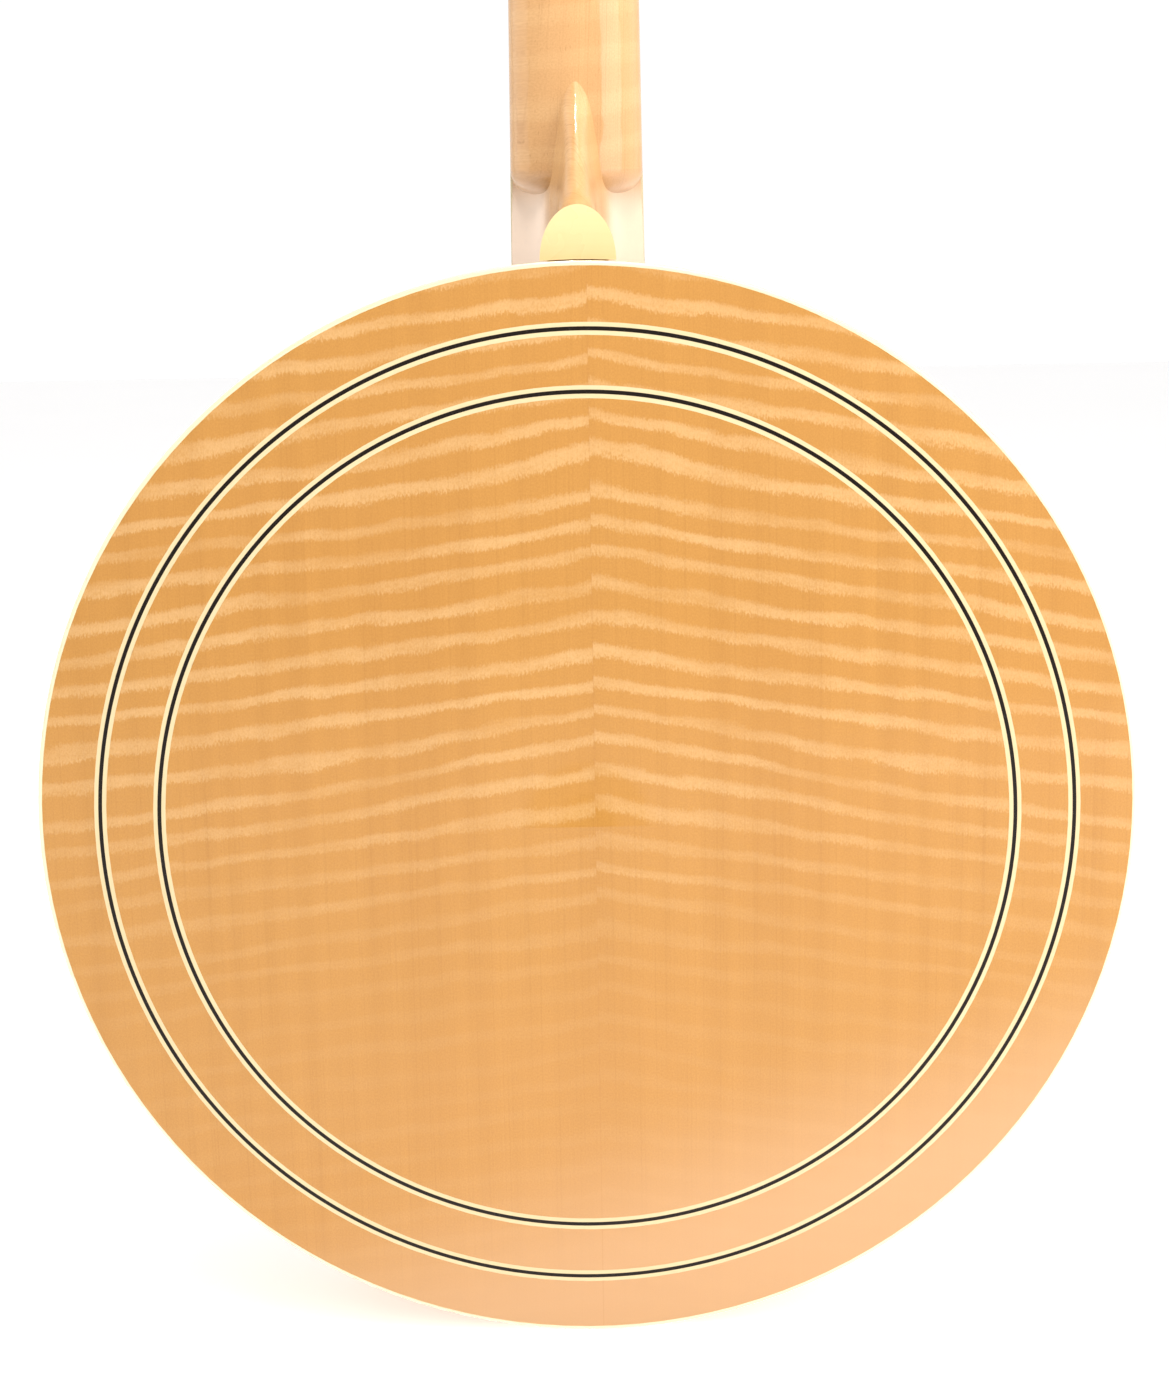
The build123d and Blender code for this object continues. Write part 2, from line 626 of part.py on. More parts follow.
def truss_bore(start, end, radius):
    return NECK * rod((truss_x(start), TRUSS_T, start), (truss_x(end), TRUSS_T, end), radius)


def neck():
    shaft = lofted([SHAFT_S + SHAFT_ROUND, 120, 190, 260, STEP_START])
    step = lofted([STEP_START, 337, 342, 347, STEP_END])
    upper = lofted([STEP_END, 400, 450, NUT_S])
    behind_nut = NECK * extrude(section(NUT_S), amount=NUT_W + 1.0)
    behind_nut -= PEG * box_between((-40, -60, 0), (40, VENEER_T, 30))
    blank = peg_plate(VENEER_T, PEG_THICK) - truss_pocket()
    for x, z in tuner_spots().values():
        blank -= along_y(x, z, CASE_SLEEVE_R + 0.1, 0, PEG_THICK + 1)
    heel = heel_blank() - cap_slab(HEEL_CAP_T - CAP_THICK)
    wood = heel + NECK * shaft_end() + NECK * shaft + NECK * step + NECK * upper + behind_nut + PEG * blank
    wood -= truss_bore(4.0, NUT_S + 24.0, 2.5)
    wood -= joined([rod((0, y, 130), (0, y, LAG_END_Z), ROD_R) for y in ROD_Y])
    return wood - FIFTH_AT * along_x(FIFTH_CASE_R, -5.0, FIFTH_DEPTH)


def board_face(inset):
    """The fingerboard's outline, brought in by inset at both sides, as points (x, s)."""
    start, end = -6.0, NUT_S
    stations = [STEP_START + k * (STEP_END - STEP_START) / 6 for k in range(7)]
    curve = Spline(*[(bass_x(s) + inset, s) for s in stations])
    lines = Polyline(curve @ 1, (bass_x(end) + inset, end), (treble_x(end) - inset, end),
                     (treble_x(start) - inset, start), (bass_x(start) + inset, start), curve @ 0)
    return make_face([curve, lines])


def board_solid(inset, t0, t1):
    plane = Plane(origin=(0, t0, 0), x_dir=(1, 0, 0), z_dir=(0, -1, 0))
    return extrude(plane * board_face(inset), amount=-(t1 - t0))


def fret_s(n):
    return NUT_S - SCALE * (1 - 2 ** (-n / 12))


def marker_faces():
    """Four-pointed pearl inlays between the frets, as (fret, x, half width, half length)."""
    small, large = (3.4, 5.0), (4.6, 7.5)
    spots = [(n, 0.0, *small) for n in (3, 5, 7, 10, 15, 17, 19)]
    return spots + [(12, -8.0, *large), (12, 8.0, *large), (22, 0.0, 2.6, 2.6)]


def markers():
    pieces = []
    for n, x, half_w, half_l in marker_faces():
        s = (fret_s(n) + fret_s(n - 1)) / 2
        centre = (treble_x(s) + bass_x(s)) / 2 + x
        waist = 0.42
        points = []
        for k in range(4):
            a = k * pi / 2
            points.append((centre + half_w * cos(a), s + half_l * sin(a)))
            b = a + pi / 4
            points.append((centre + waist * half_w * cos(b), s + waist * half_l * sin(b)))
        plane = Plane(origin=(0, 0, 0), x_dir=(1, 0, 0), z_dir=(0, -1, 0))
        pieces.append(extrude(plane * make_face(Polyline(*points, close=True)), amount=-1.0))
    return pieces


def fingerboard():
    board = board_solid(BOARD_BIND, 0, BOARD_T) - markers()
    return NECK * board


def fret_markers():
    return NECK * group(markers())


def fingerboard_binding():
    return NECK * (board_solid(0.0, 0, BOARD_T) - board_solid(BOARD_BIND, -1, BOARD_T + 1))


def frets():
    crown_r, inset = 1.05, 0.7
    bars = []
    for n in range(1, FRET_COUNT + 1):
        s = fret_s(n)
        left, right = bass_x(s) + inset, treble_x(s) - inset
        bar = rod((left, 0, s), (right, 0, s), crown_r)
        bars.append(bar - box_between((left - 1, 0, s - 3), (right + 1, 4, s + 3)))
    return NECK * group(bars)


def string_x(number, s):
    """The string's x above the board at neck station s."""
    start = COURSE[number] * BRIDGE_SPACING
    if number == 5:
        end_x, end_s = FIFTH_NUT_X, FIFTH_NUT_S
    else:
        gap = (treble_x(NUT_S) - NUT_BASS_X - 6.8) / 3
        end_x, end_s = treble_x(NUT_S) - 3.4 - (number - 1) * gap, NUT_S
    return start + (end_x - start) * (s - BRIDGE_S) / (end_s - BRIDGE_S)


def slot_above(point, radius, reach):
    """The open top of a string's slot: a box from the string's centre forward."""
    x, t, s = point
    return box_between((x - radius, t - 6, s - reach), (x + radius, t, s + reach))


def nut():
    """The bone nut at the head of the board, slotted for four strings."""
    block = box_between((NUT_BASS_X, -2.4, NUT_S), (treble_x(NUT_S), BOARD_T, NUT_S + NUT_W))
    block = fillet(block.edges().filter_by(Axis.X).sort_by(Axis.Y)[:2], 0.9)
    for n in (1, 2, 3, 4):
        point = (string_x(n, NUT_S), NUT_STRING_T, NUT_S)
        block -= slot_above(point, STRING_D[n] / 2 + STRING_FIT, NUT_W + 2)
    peghead_side = PEG * box_between((-60, 0, -20), (60, 30, 60))
    return NECK * block - [string(n, STRING_FIT) for n in (1, 2, 3, 4)] - peghead_side


def fifth_string_nut():
    """The small slotted peg that the fifth string rests on."""
    height, seat = 3.4, 2.4
    pip = rod((FIFTH_NUT_X, 0, FIFTH_NUT_S), (FIFTH_NUT_X, -height, FIFTH_NUT_S), 1.5)
    point = (FIFTH_NUT_X, -seat, FIFTH_NUT_S)
    pip -= slot_above(point, STRING_D[5] / 2 + STRING_FIT, 3)
    return NECK * pip - string(5, STRING_FIT)


def heel_cap():
    """The flat plastic plate on the end of the heel."""
    return (heel_blank() & cap_slab(HEEL_CAP_T - CAP_THICK)) - cap_slab(HEEL_CAP_T)


def peghead_veneer():
    plate = peg_plate(0, VENEER_T) - truss_pocket()
    for x, z in tuner_spots().values():
        plate -= along_y(x, z, CASE_SLEEVE_R + 0.1, -1, 5)
    return PEG * plate


def truss_rod():
    """The steel rod in the neck, with its hexagonal nut in the pocket under the cover."""
    end = NUT_S + 19.0
    nut_start = NUT_S + 12.5
    flats, length = 6.3, 5.0
    nut_plane = Plane(origin=(truss_x(nut_start), TRUSS_T, nut_start), z_dir=(0, 0, 1))
    hexagon = nut_plane * extrude(RegularPolygon(flats / sqrt(3), 6), amount=length)
    return truss_bore(5.0, end, 2.4) + NECK * hexagon


def truss_cover_face(inset):
    half, top = 11.5 - inset, 46.0 - inset
    low = 1.2 + inset
    curve = Spline((half, low), (half * 0.98, low + 12), (half * 0.55, low + 27), (0, top),
                   (-half * 0.55, low + 27), (-half * 0.98, low + 12), (-half, low))
    return make_face([curve, Line(curve @ 1, curve @ 0)])


def truss_rod_cover():
    plane = Plane(origin=(0, -2.0, 0), x_dir=(1, 0, 0), z_dir=(0, -1, 0))
    plate = extrude(plane * truss_cover_face(0.0), amount=-2.0)
    for x, z in TRUSS_SCREWS:
        plate -= along_y(x, z, 1.1, -4, 1)
    return PEG * plate


def truss_cover_screws():
    screws = []
    for x, z in TRUSS_SCREWS:
        head = along_y(x, z, 2.1, -3.1, -2.0) - box_between((x - 3, -4, z - 0.25), (x + 3, -2.6, z + 0.25))
        screws.append(head + along_y(x, z, 1.1, -2.2, 0.0))
    return PEG * group(screws)


# ---- Tuners -------------------------------------------------------------------------------
def tuner_cases():
    cases = []
    for x, z in tuner_spots().values():
        sleeve = along_y(x, z, CASE_SLEEVE_R, 0.2, PEG_THICK)
        body = along_y(x, z, 7.8, PEG_THICK, CASE_BACK)
        body = fillet(body.edges().sort_by(Axis.Y)[-1], 2.0)
        bores = along_y(x, z, POST_R + 0.05, 0.0, 17.0) + along_y(x, z, 2.55, 19.0, CASE_BACK + 1)
        cases.append(sleeve + body - bores)
    return PEG * group(cases)


def tuner_bushings():
    parts = []
    for x, z in tuner_spots().values():
        washer = along_y(x, z, 7.0, -0.9, 0.0)
        nut_part = hex_bar(x, z, 10.5, -4.2, -0.9)
        parts.append(washer + nut_part - along_y(x, z, POST_R + 0.05, -6, 1))
    return PEG * group(parts)


def tuner_post(number):
    x, z = tuner_spots()[number]
    post = along_y(x, z, POST_R, -14.5, 16.5)
    post = fillet(post.edges().sort_by(Axis.Y)[0], 1.2)
    low, high = POST_R - POST_WAIST, POST_R + 1
    waist = revolve_about(x, z, [(low, -9.6), (high, -9.6), (high, -6.4), (low, -6.4)])
    hole = rod((x, -8.0, z - 6), (x, -8.0, z + 6), 0.8)
    return PEG * (post - waist - hole)


def revolve_about(x, z, points):
    """A ring parallel to Y about the line through (x, z)."""
    return Pos(x, 0, z) * revolve(make_face(Polyline(*points, close=True)), Axis.Y)


def knob(half_w, half_h, length):
    """An oval tuner button whose stem end is at the origin, standing along +Y."""
    body = extrude(Plane.XZ * Ellipse(half_w, half_h), amount=-length)
    return fillet(body.edges(), min(half_h * 0.45, length * 0.3))


def tuner_button(number):
    x, z = tuner_spots()[number]
    shaft = along_y(x, z, 2.5, 19.5, CASE_BACK + 6.0)
    return PEG * (shaft + Pos(x, CASE_BACK + 3.0, z) * knob(10.5, 7.0, 13.0))


def along_x(radius, x0, x1):
    """A rod on the fifth peg's axis, in its own frame."""
    return rod((x0, 0, 0), (x1, 0, 0), radius)


def fifth_peg_case():
    """The housing pressed into the side of the neck, with its collar outside."""
    collar_r, collar_len, floor = 5.0, 2.2, 2.0
    case = along_x(FIFTH_CASE_R, 0.0, FIFTH_DEPTH) + along_x(collar_r, -collar_len, 0.0)
    return FIFTH_AT * (case - along_x(FIFTH_POST_R + 0.05, -3.0, FIFTH_DEPTH - floor))


def fifth_peg_post():
    """The turning post that winds the fifth string, hollow for the button's stem."""
    hole_r = 0.7
    post = along_x(FIFTH_POST_R, -12.0, 8.5) - along_x(FIFTH_STEM_R + 0.05, -13, 9)
    return FIFTH_AT * (post - rod((FIFTH_HOLE_X, 0, -5), (FIFTH_HOLE_X, 0, 5), hole_r))


def fifth_peg_button():
    stem = along_x(FIFTH_STEM_R, -14.0, 4.0)
    collar = along_x(4.0, -15.0, -12.4)
    grip = Pos(-14.5, 0, 0) * Rot(0, 0, 90) * knob(9.0, 6.0, 12.0)
    return FIFTH_AT * (stem + collar + grip)


# ---- Bridge and tailpiece -----------------------------------------------------------------
def bridge_blank(y_low, y_high):
    """The bridge's outline without its feet cut, tapered towards the strings."""
    foot_half, top_half, half_len = 4.2, 1.25, 34.5
    section_line = Polyline(
        (HEAD_Y, -foot_half), (HEAD_Y, foot_half), (HEAD_Y - BRIDGE_H, top_half),
        (HEAD_Y - BRIDGE_H, -top_half), close=True,
    )
    face = Plane(origin=(-half_len, 0, BRIDGE_Z), x_dir=(0, 1, 0), z_dir=(1, 0, 0)) * make_face(section_line)
    bar = extrude(face, amount=2 * half_len)
    return bar & box_between((-40, y_low, BRIDGE_Z - 10), (40, y_high, BRIDGE_Z + 10))


def bridge():
    wood = bridge_blank(HEAD_Y - BRIDGE_H + 2.0, HEAD_Y)
    arch_half, arch_h = 10.6, 9.2
    for x in (-16.0, 16.0):
        arch = Pos(x, HEAD_Y, BRIDGE_Z) * (
            extrude(Plane.XY.offset(-8) * (Ellipse(arch_half, arch_h)), amount=16))
        wood -= arch
    ends = []
    for side in (-1, 1):
        outer = side * 34.5
        ends.append(Pos(outer + side * 2.5, HEAD_Y - BRIDGE_H + 4.0, BRIDGE_Z) *
                    extrude(Plane.XY.offset(-8) * Ellipse(7.0, 5.0), amount=16))
    return wood - ends


def bridge_top():
    strip = bridge_blank(HEAD_Y - BRIDGE_H - 0.1, HEAD_Y - BRIDGE_H + 2.0)
    strip = strip & box_between((-29.5, -100, -60), (29.5, -60, 0))
    for n, place in COURSE.items():
        half = STRING_D[n] / 2 + STRING_FIT
        x = place * BRIDGE_SPACING
        strip -= box_between((x - half, HEAD_Y - BRIDGE_H - 1, BRIDGE_Z - 8),
                             (x + half, HEAD_Y - BRIDGE_H + BRIDGE_SLOT, BRIDGE_Z + 8))
    return strip - [string(n, STRING_FIT) for n in COURSE]


def tailpiece_outline(front_half, rear_half, front_z, rear_z):
    return FilletPolyline(
        (-front_half, front_z), (front_half, front_z), (rear_half, rear_z), (-rear_half, rear_z),
        radius=[2.5, 2.5, 4.0, 4.0], close=True,
    )


def tail_slab(outline, y0, y1):
    """Extrudes an (x, z) outline between two depths."""
    plane = Plane(origin=(0, y0, 0), x_dir=(1, 0, 0), z_dir=(0, -1, 0))
    return extrude(plane * make_face(outline), amount=-(y1 - y0))


def tail_pin_x(number):
    return COURSE[number] * TAIL_SPACING


def tailpiece_base():
    plate = tail_slab(tailpiece_outline(17.5, 11.5, TAIL_FRONT_Z, TAIL_REAR_Z), *PLATE_Y)
    block = box_between((-6.5, -80.5, TAIL_REAR_Z), (6.5, PLATE_Y[0], -148.2))
    ears = [box_between((side * 12.0 - 1.5, HINGE_Y - 1.8, HINGE_Z - 2.0),
                        (side * 12.0 + 1.5, PLATE_Y[0], HINGE_Z + 2.0)) for side in (-1, 1)]
    pins = [along_y(tail_pin_x(n), TAIL_PIN_Z, 1.1, -80.4, PLATE_Y[0] + 0.5) for n in range(1, 6)]
    body = joined([plate, block, *ears, *pins])
    body -= rod((-20, HINGE_Y, HINGE_Z), (20, HINGE_Y, HINGE_Z), 1.0)
    body -= along_y(0, TAIL_SCREW_Z, 2.05, -90, -70)
    return body - along_y(0, -HOOK_CIRCLE_R, HOOK_R, -90, -70)


def tailpiece_pin():
    return rod((-14.0, HINGE_Y, HINGE_Z), (14.0, HINGE_Y, HINGE_Z), 1.0)


def tailpiece_cover():
    """The lid over the string ends, hinged at its rear."""
    top, wall = LID_TOP_Y, 1.1
    rear = HINGE_Z + 3.2
    outer = tail_slab(tailpiece_outline(16.5, 13.4, TAIL_FRONT_Z - 1.0, rear), top, PLATE_Y[0] - 0.3)
    outer = fillet(outer.edges().sort_by(Axis.Y)[:4], 1.0)
    inner = box_between((-30, top + wall, TAIL_FRONT_Z - 30), (30, PLATE_Y[0] + 1, TAIL_FRONT_Z + 5))
    sides = tail_slab(tailpiece_outline(16.5 - wall, 13.4 - wall, TAIL_FRONT_Z + 6.0, rear + wall),
                      top - 5, PLATE_Y[0] + 2)
    shell = outer - (inner & sides)
    knuckle = rod((-9.5, HINGE_Y, HINGE_Z), (9.5, HINGE_Y, HINGE_Z), 2.2)
    web = box_between((-9.5, HINGE_Y - 2.2, HINGE_Z), (9.5, HINGE_Y, rear + 1.5))
    return shell + knuckle + web - rod((-20, HINGE_Y, HINGE_Z), (20, HINGE_Y, HINGE_Z), 1.05)


def tailpiece_bracket():
    """The hanger bolt from the tailpiece through the flange, and its nut."""
    bolt = along_y(0, -HOOK_CIRCLE_R, HOOK_R, -81.0, HOOK_END_Y)
    cap = hex_bar(0, -HOOK_CIRCLE_R, NUT_FLATS, -84.0, -80.5)
    low = hex_bar(0, -HOOK_CIRCLE_R, NUT_FLATS, FLANGE_BACK_Y, FLANGE_BACK_Y + NUT_LEN, HOOK_R + 0.05)
    return group([bolt + cap, low])


def tailpiece_screw():
    """The thumb screw that bears on the hoop and sets the tailpiece's height."""
    shank = along_y(0, TAIL_SCREW_Z, 2.0, -87.0, HOOP_TOP_Y)
    head = along_y(0, TAIL_SCREW_Z, 4.6, -89.5, -85.0)
    head = fillet(head.edges(), 0.6)
    grooves = [along_y(4.8 * cos(2 * pi * k / 14), TAIL_SCREW_Z + 4.8 * sin(2 * pi * k / 14), 0.55, -92, -80)
               for k in range(14)]
    return (head - grooves) + shank


# ---- Armrest ------------------------------------------------------------------------------
def wedge(start, end):
    """Everything between two angles about the pot's axis."""
    reach = 400.0
    points = [(0, 0)] + [(reach * cos(radians(a)), reach * sin(radians(a)))
                         for a in (start, (start + end) / 2, end)]
    return extrude(Plane.XZ * make_face(Polyline(*points, close=True)), amount=200, both=True)


def armrest_outline(inset):
    """The front line of the armrest's section, brought back by inset, as an arc."""
    inner, crest, outer = (133.0, -76.0), (149.0, -82.0), (164.0, -71.0)
    return ThreePointArc((inner[0], inner[1] + inset), (crest[0], crest[1] + inset),
                         (outer[0] - inset, outer[1]))


def armrest_section(inset):
    """The armrest's section filled back to a line behind it."""
    arc = armrest_outline(inset)
    behind = Polyline(arc @ 1, ((arc @ 1).X, -40), ((arc @ 0).X, -40), arc @ 0)
    return revolve(make_face([arc, behind]), Axis.Y)


def armrest_plate():
    """A crowned strip of sheet metal over the hoop."""
    top, under = armrest_outline(0.0), armrest_outline(ARM_THICK)
    face = make_face([top, Line(top @ 1, under @ 1), under, Line(under @ 0, top @ 0)])
    return revolve(face, Axis.Y) & wedge(*ARM_ANGLES)


def arm_leg(angle):
    """One clamp: a strap from the plate down outside the hoop, with a foot under the hoop."""
    half, inner, outer, foot_inner = 5.0, HOOP_R + 0.4, HOOP_R + 2.0, 144.0
    strap = box_between((inner, -90, -half), (outer, ARM_FOOT_Y, half))
    foot = box_between((foot_inner, HOOP_END_Y + 0.2, -half), (outer, ARM_FOOT_Y, half))
    leg = strap + foot - along_y(ARM_SCREW_R, 0, 1.6, -52, -40)
    return around(angle, leg)


def armrest_clamps():
    return group([arm_leg(angle) & armrest_section(ARM_THICK) for angle in ARM_LEGS])


def armrest_screws():
    screws = []
    for angle in ARM_LEGS:
        shank = along_y(ARM_SCREW_R, 0, 1.6, HOOP_END_Y, ARM_FOOT_Y + 1.5)
        head = hex_bar(ARM_SCREW_R, 0, 5.5, ARM_FOOT_Y, ARM_FOOT_Y + 4.0)
        screws.append(around(angle, shank + head))
    return group(screws)


# ---- Strings ------------------------------------------------------------------------------
def local(frame, x, y, z):
    """A point of a working frame, in the pot frame."""
    return (frame * Pos(x, y, z)).position


def string_route(number):
    """Tailpiece pin, bridge, nut and tuner post, joined by straight runs."""
    r = STRING_D[number] / 2
    pin_x = tail_pin_x(number)
    bridge_x = COURSE[number] * BRIDGE_SPACING
    route = [Vector(pin_x, TAIL_STRING_Y, TAIL_PIN_Z + 1.1 + r),
             Vector(bridge_x, HEAD_Y - BRIDGE_H + BRIDGE_SLOT - r, BRIDGE_Z)]
    if number == 5:
        post_t = FIFTH_PEG_T - FIFTH_POST_R - r - POST_GAP
        route.append(Vector(*local(NECK, FIFTH_NUT_X, -2.4 - r, FIFTH_NUT_S)))
        route.append(Vector(*local(NECK, FIFTH_SIDE_X + FIFTH_HOLE_X, post_t, FIFTH_PEG_S)))
        return route
    x, z = tuner_spots()[number]
    offset = POST_R - POST_WAIST + r + POST_GAP
    inner = x - offset if x > 0 else x + offset
    route.append(Vector(*local(NECK, string_x(number, NUT_S), NUT_STRING_T, NUT_S + 0.2)))
    route.append(Vector(*local(NECK, string_x(number, NUT_S), NUT_STRING_T, NUT_S + NUT_W)))
    route.append(Vector(*local(PEG, inner, -8.0, z)))
    return route


def string(number, clearance=0.0):
    """One string, or the room it needs in a slot when a clearance is given."""
    r = STRING_D[number] / 2 + clearance
    route = string_route(number)
    runs = [rod(tuple(a), tuple(b), r) for a, b in zip(route, route[1:])]
    balls = [Pos(*p) * Sphere(r) for p in route[1:-1]]
    return joined(runs + balls)


NODES = {
    "resonator_wall": resonator_wall,
    "resonator_back": resonator_back,
    "resonator_back_binding": lambda: edge_binding(1),
    "resonator_front_binding": lambda: edge_binding(-1),
    "ring_inlay_cream": ring_inlay_cream,
    "ring_inlay_black": ring_inlay_black,
    "wall_lugs": wall_lugs,
    "wall_lug_screws": wall_lug_screws,
    "rim": rim,
    "tone_ring": tone_ring,
    "head_membrane": head_membrane,
    "flesh_hoop": flesh_hoop,
    "tension_hoop": tension_hoop,
    "bracket_hooks": bracket_hooks,
    "bracket_nuts": bracket_nuts,
    "flange": flange,
    "coordinator_rods": coordinator_rods,
    "tail_screws": tail_screws,
    "neck_lag_bolts": neck_lag_bolts,
    "neck": neck,
    "heel_cap": heel_cap,
    "fingerboard": fingerboard,
    "fingerboard_binding": fingerboard_binding,
    "fret_markers": fret_markers,
    "frets": frets,
    "nut": nut,
    "fifth_string_nut": fifth_string_nut,
    "peghead_veneer": peghead_veneer,
    "truss_rod": truss_rod,
    "truss_rod_cover": truss_rod_cover,
    "truss_cover_screws": truss_cover_screws,
    "tuner_cases": tuner_cases,
    "tuner_bushings": tuner_bushings,
    "fifth_peg_case": fifth_peg_case,
    "fifth_peg_post": fifth_peg_post,
    "fifth_peg_button": fifth_peg_button,
    "bridge": bridge,
    "bridge_top": bridge_top,
    "tailpiece_base": tailpiece_base,
    "tailpiece_pin": tailpiece_pin,
    "tailpiece_cover": tailpiece_cover,
    "tailpiece_bracket": tailpiece_bracket,
    "tailpiece_screw": tailpiece_screw,
    "armrest_plate": armrest_plate,
    "armrest_clamps": armrest_clamps,
    "armrest_screws": armrest_screws,
    "plain_strings": lambda: group([string(n) for n in (1, 2, 3, 5)]),
    "wound_string": lambda: string(4),
}
for number in (1, 2, 3, 4):
    NODES[f"tuner_post_{number}"] = lambda n=number: tuner_post(n)
    NODES[f"tuner_button_{number}"] = lambda n=number: tuner_button(n)
for place, angle in enumerate(thumb_angles(), start=1):
    NODES[f"thumb_screw_{place}"] = lambda a=angle: thumb_screw(a)

os.makedirs("parts", exist_ok=True)
for name, make in NODES.items():
    save(name, make())
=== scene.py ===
import math

import bpy
from mathutils import Matrix, Vector

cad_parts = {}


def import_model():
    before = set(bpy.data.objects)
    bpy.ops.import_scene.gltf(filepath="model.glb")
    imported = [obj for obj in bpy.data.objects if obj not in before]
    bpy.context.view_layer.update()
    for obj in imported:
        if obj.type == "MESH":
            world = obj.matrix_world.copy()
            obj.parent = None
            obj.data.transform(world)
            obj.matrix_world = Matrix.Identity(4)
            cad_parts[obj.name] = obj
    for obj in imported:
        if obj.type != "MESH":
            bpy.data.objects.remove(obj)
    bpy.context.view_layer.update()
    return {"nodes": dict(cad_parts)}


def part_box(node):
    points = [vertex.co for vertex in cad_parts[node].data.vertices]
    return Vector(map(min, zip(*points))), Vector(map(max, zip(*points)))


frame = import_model()
NODES = frame["nodes"]

# ---- Places in the row frame, in metres ---------------------------------------------------
WALL_LOW, WALL_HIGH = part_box("resonator_wall")
WALL_R = (WALL_HIGH.x - WALL_LOW.x) / 2  # outside radius of the resonator's wall
POT_Z = (WALL_HIGH.z + WALL_LOW.z) / 2  # height of the pot's axis
SEAM_X = -0.0027  # the bookmatched joint in the back, beside the middle line
RING_RADII = (0.1655, 0.1451)  # the middles of the two inlaid rings
RING_BLACK = (0.00064, 0.00072)  # where the black ends and the cream begins, from a ring's middle
HEEL_RIDGE = (0.0085, 0.0145)  # from the middle line: where the heel's ridge ends and its sides begin
HEEL_GLARE_FADE = (0.392, 0.409)  # heights between which the painted glare on the heel's sides fades into the neck
PLAYED_Z = 0.235  # height round which the head is rubbed by playing
RIM_IN, PLY = 0.1195, 0.0075  # where the rim's plies are counted from, and the thickness of one

# ---- Flame bars and string winding: pitches and shifts in metres --------------------------
BACK_PITCH = 0.0107
BACK_SLOPE = 0.172  # rise of the bars towards the joint, per metre, on the -X half
BACK_SLOPE_LESS = 0.036  # how much less they rise on the +X half
BACK_SHIFT = 0.0016  # how far the two halves' bars miss each other at the joint
NECK_PITCH = 0.0155
WALL_BARS = 104  # bars round the whole wall
BRIDGE_PITCH = 0.006
WINDING_PITCH = 0.00016  # the wound string's turns

# ---- Table, light and camera --------------------------------------------------------------
FLOOR_HALF, FLOOR_Z = 8.0, -0.0006
FLOOR_BASE_GLOW = 0.30  # keeps the table as white as the photograph's
FLOOR_GLOW = 0.6  # a brighter patch of table behind the instrument, which its gloss reflects
GLOW_PLACE, GLOW_SIZE = (-0.08, 0.16), (0.45, 0.15)
SKY_WHITE = 1.03
DARK_SIDE = (0.66, 0.75)  # the x and y of the direction where the band overhead is darkest
LENS, SENSOR = 57.2, 36.0  # millimetres
CAMERA_PLACE = (-0.0005, 0.7606, 0.3694)
CAMERA_RIGHT = (-0.999852, 0.002168, -0.017063)
CAMERA_UP = (-0.017169, -0.185485, 0.982497)


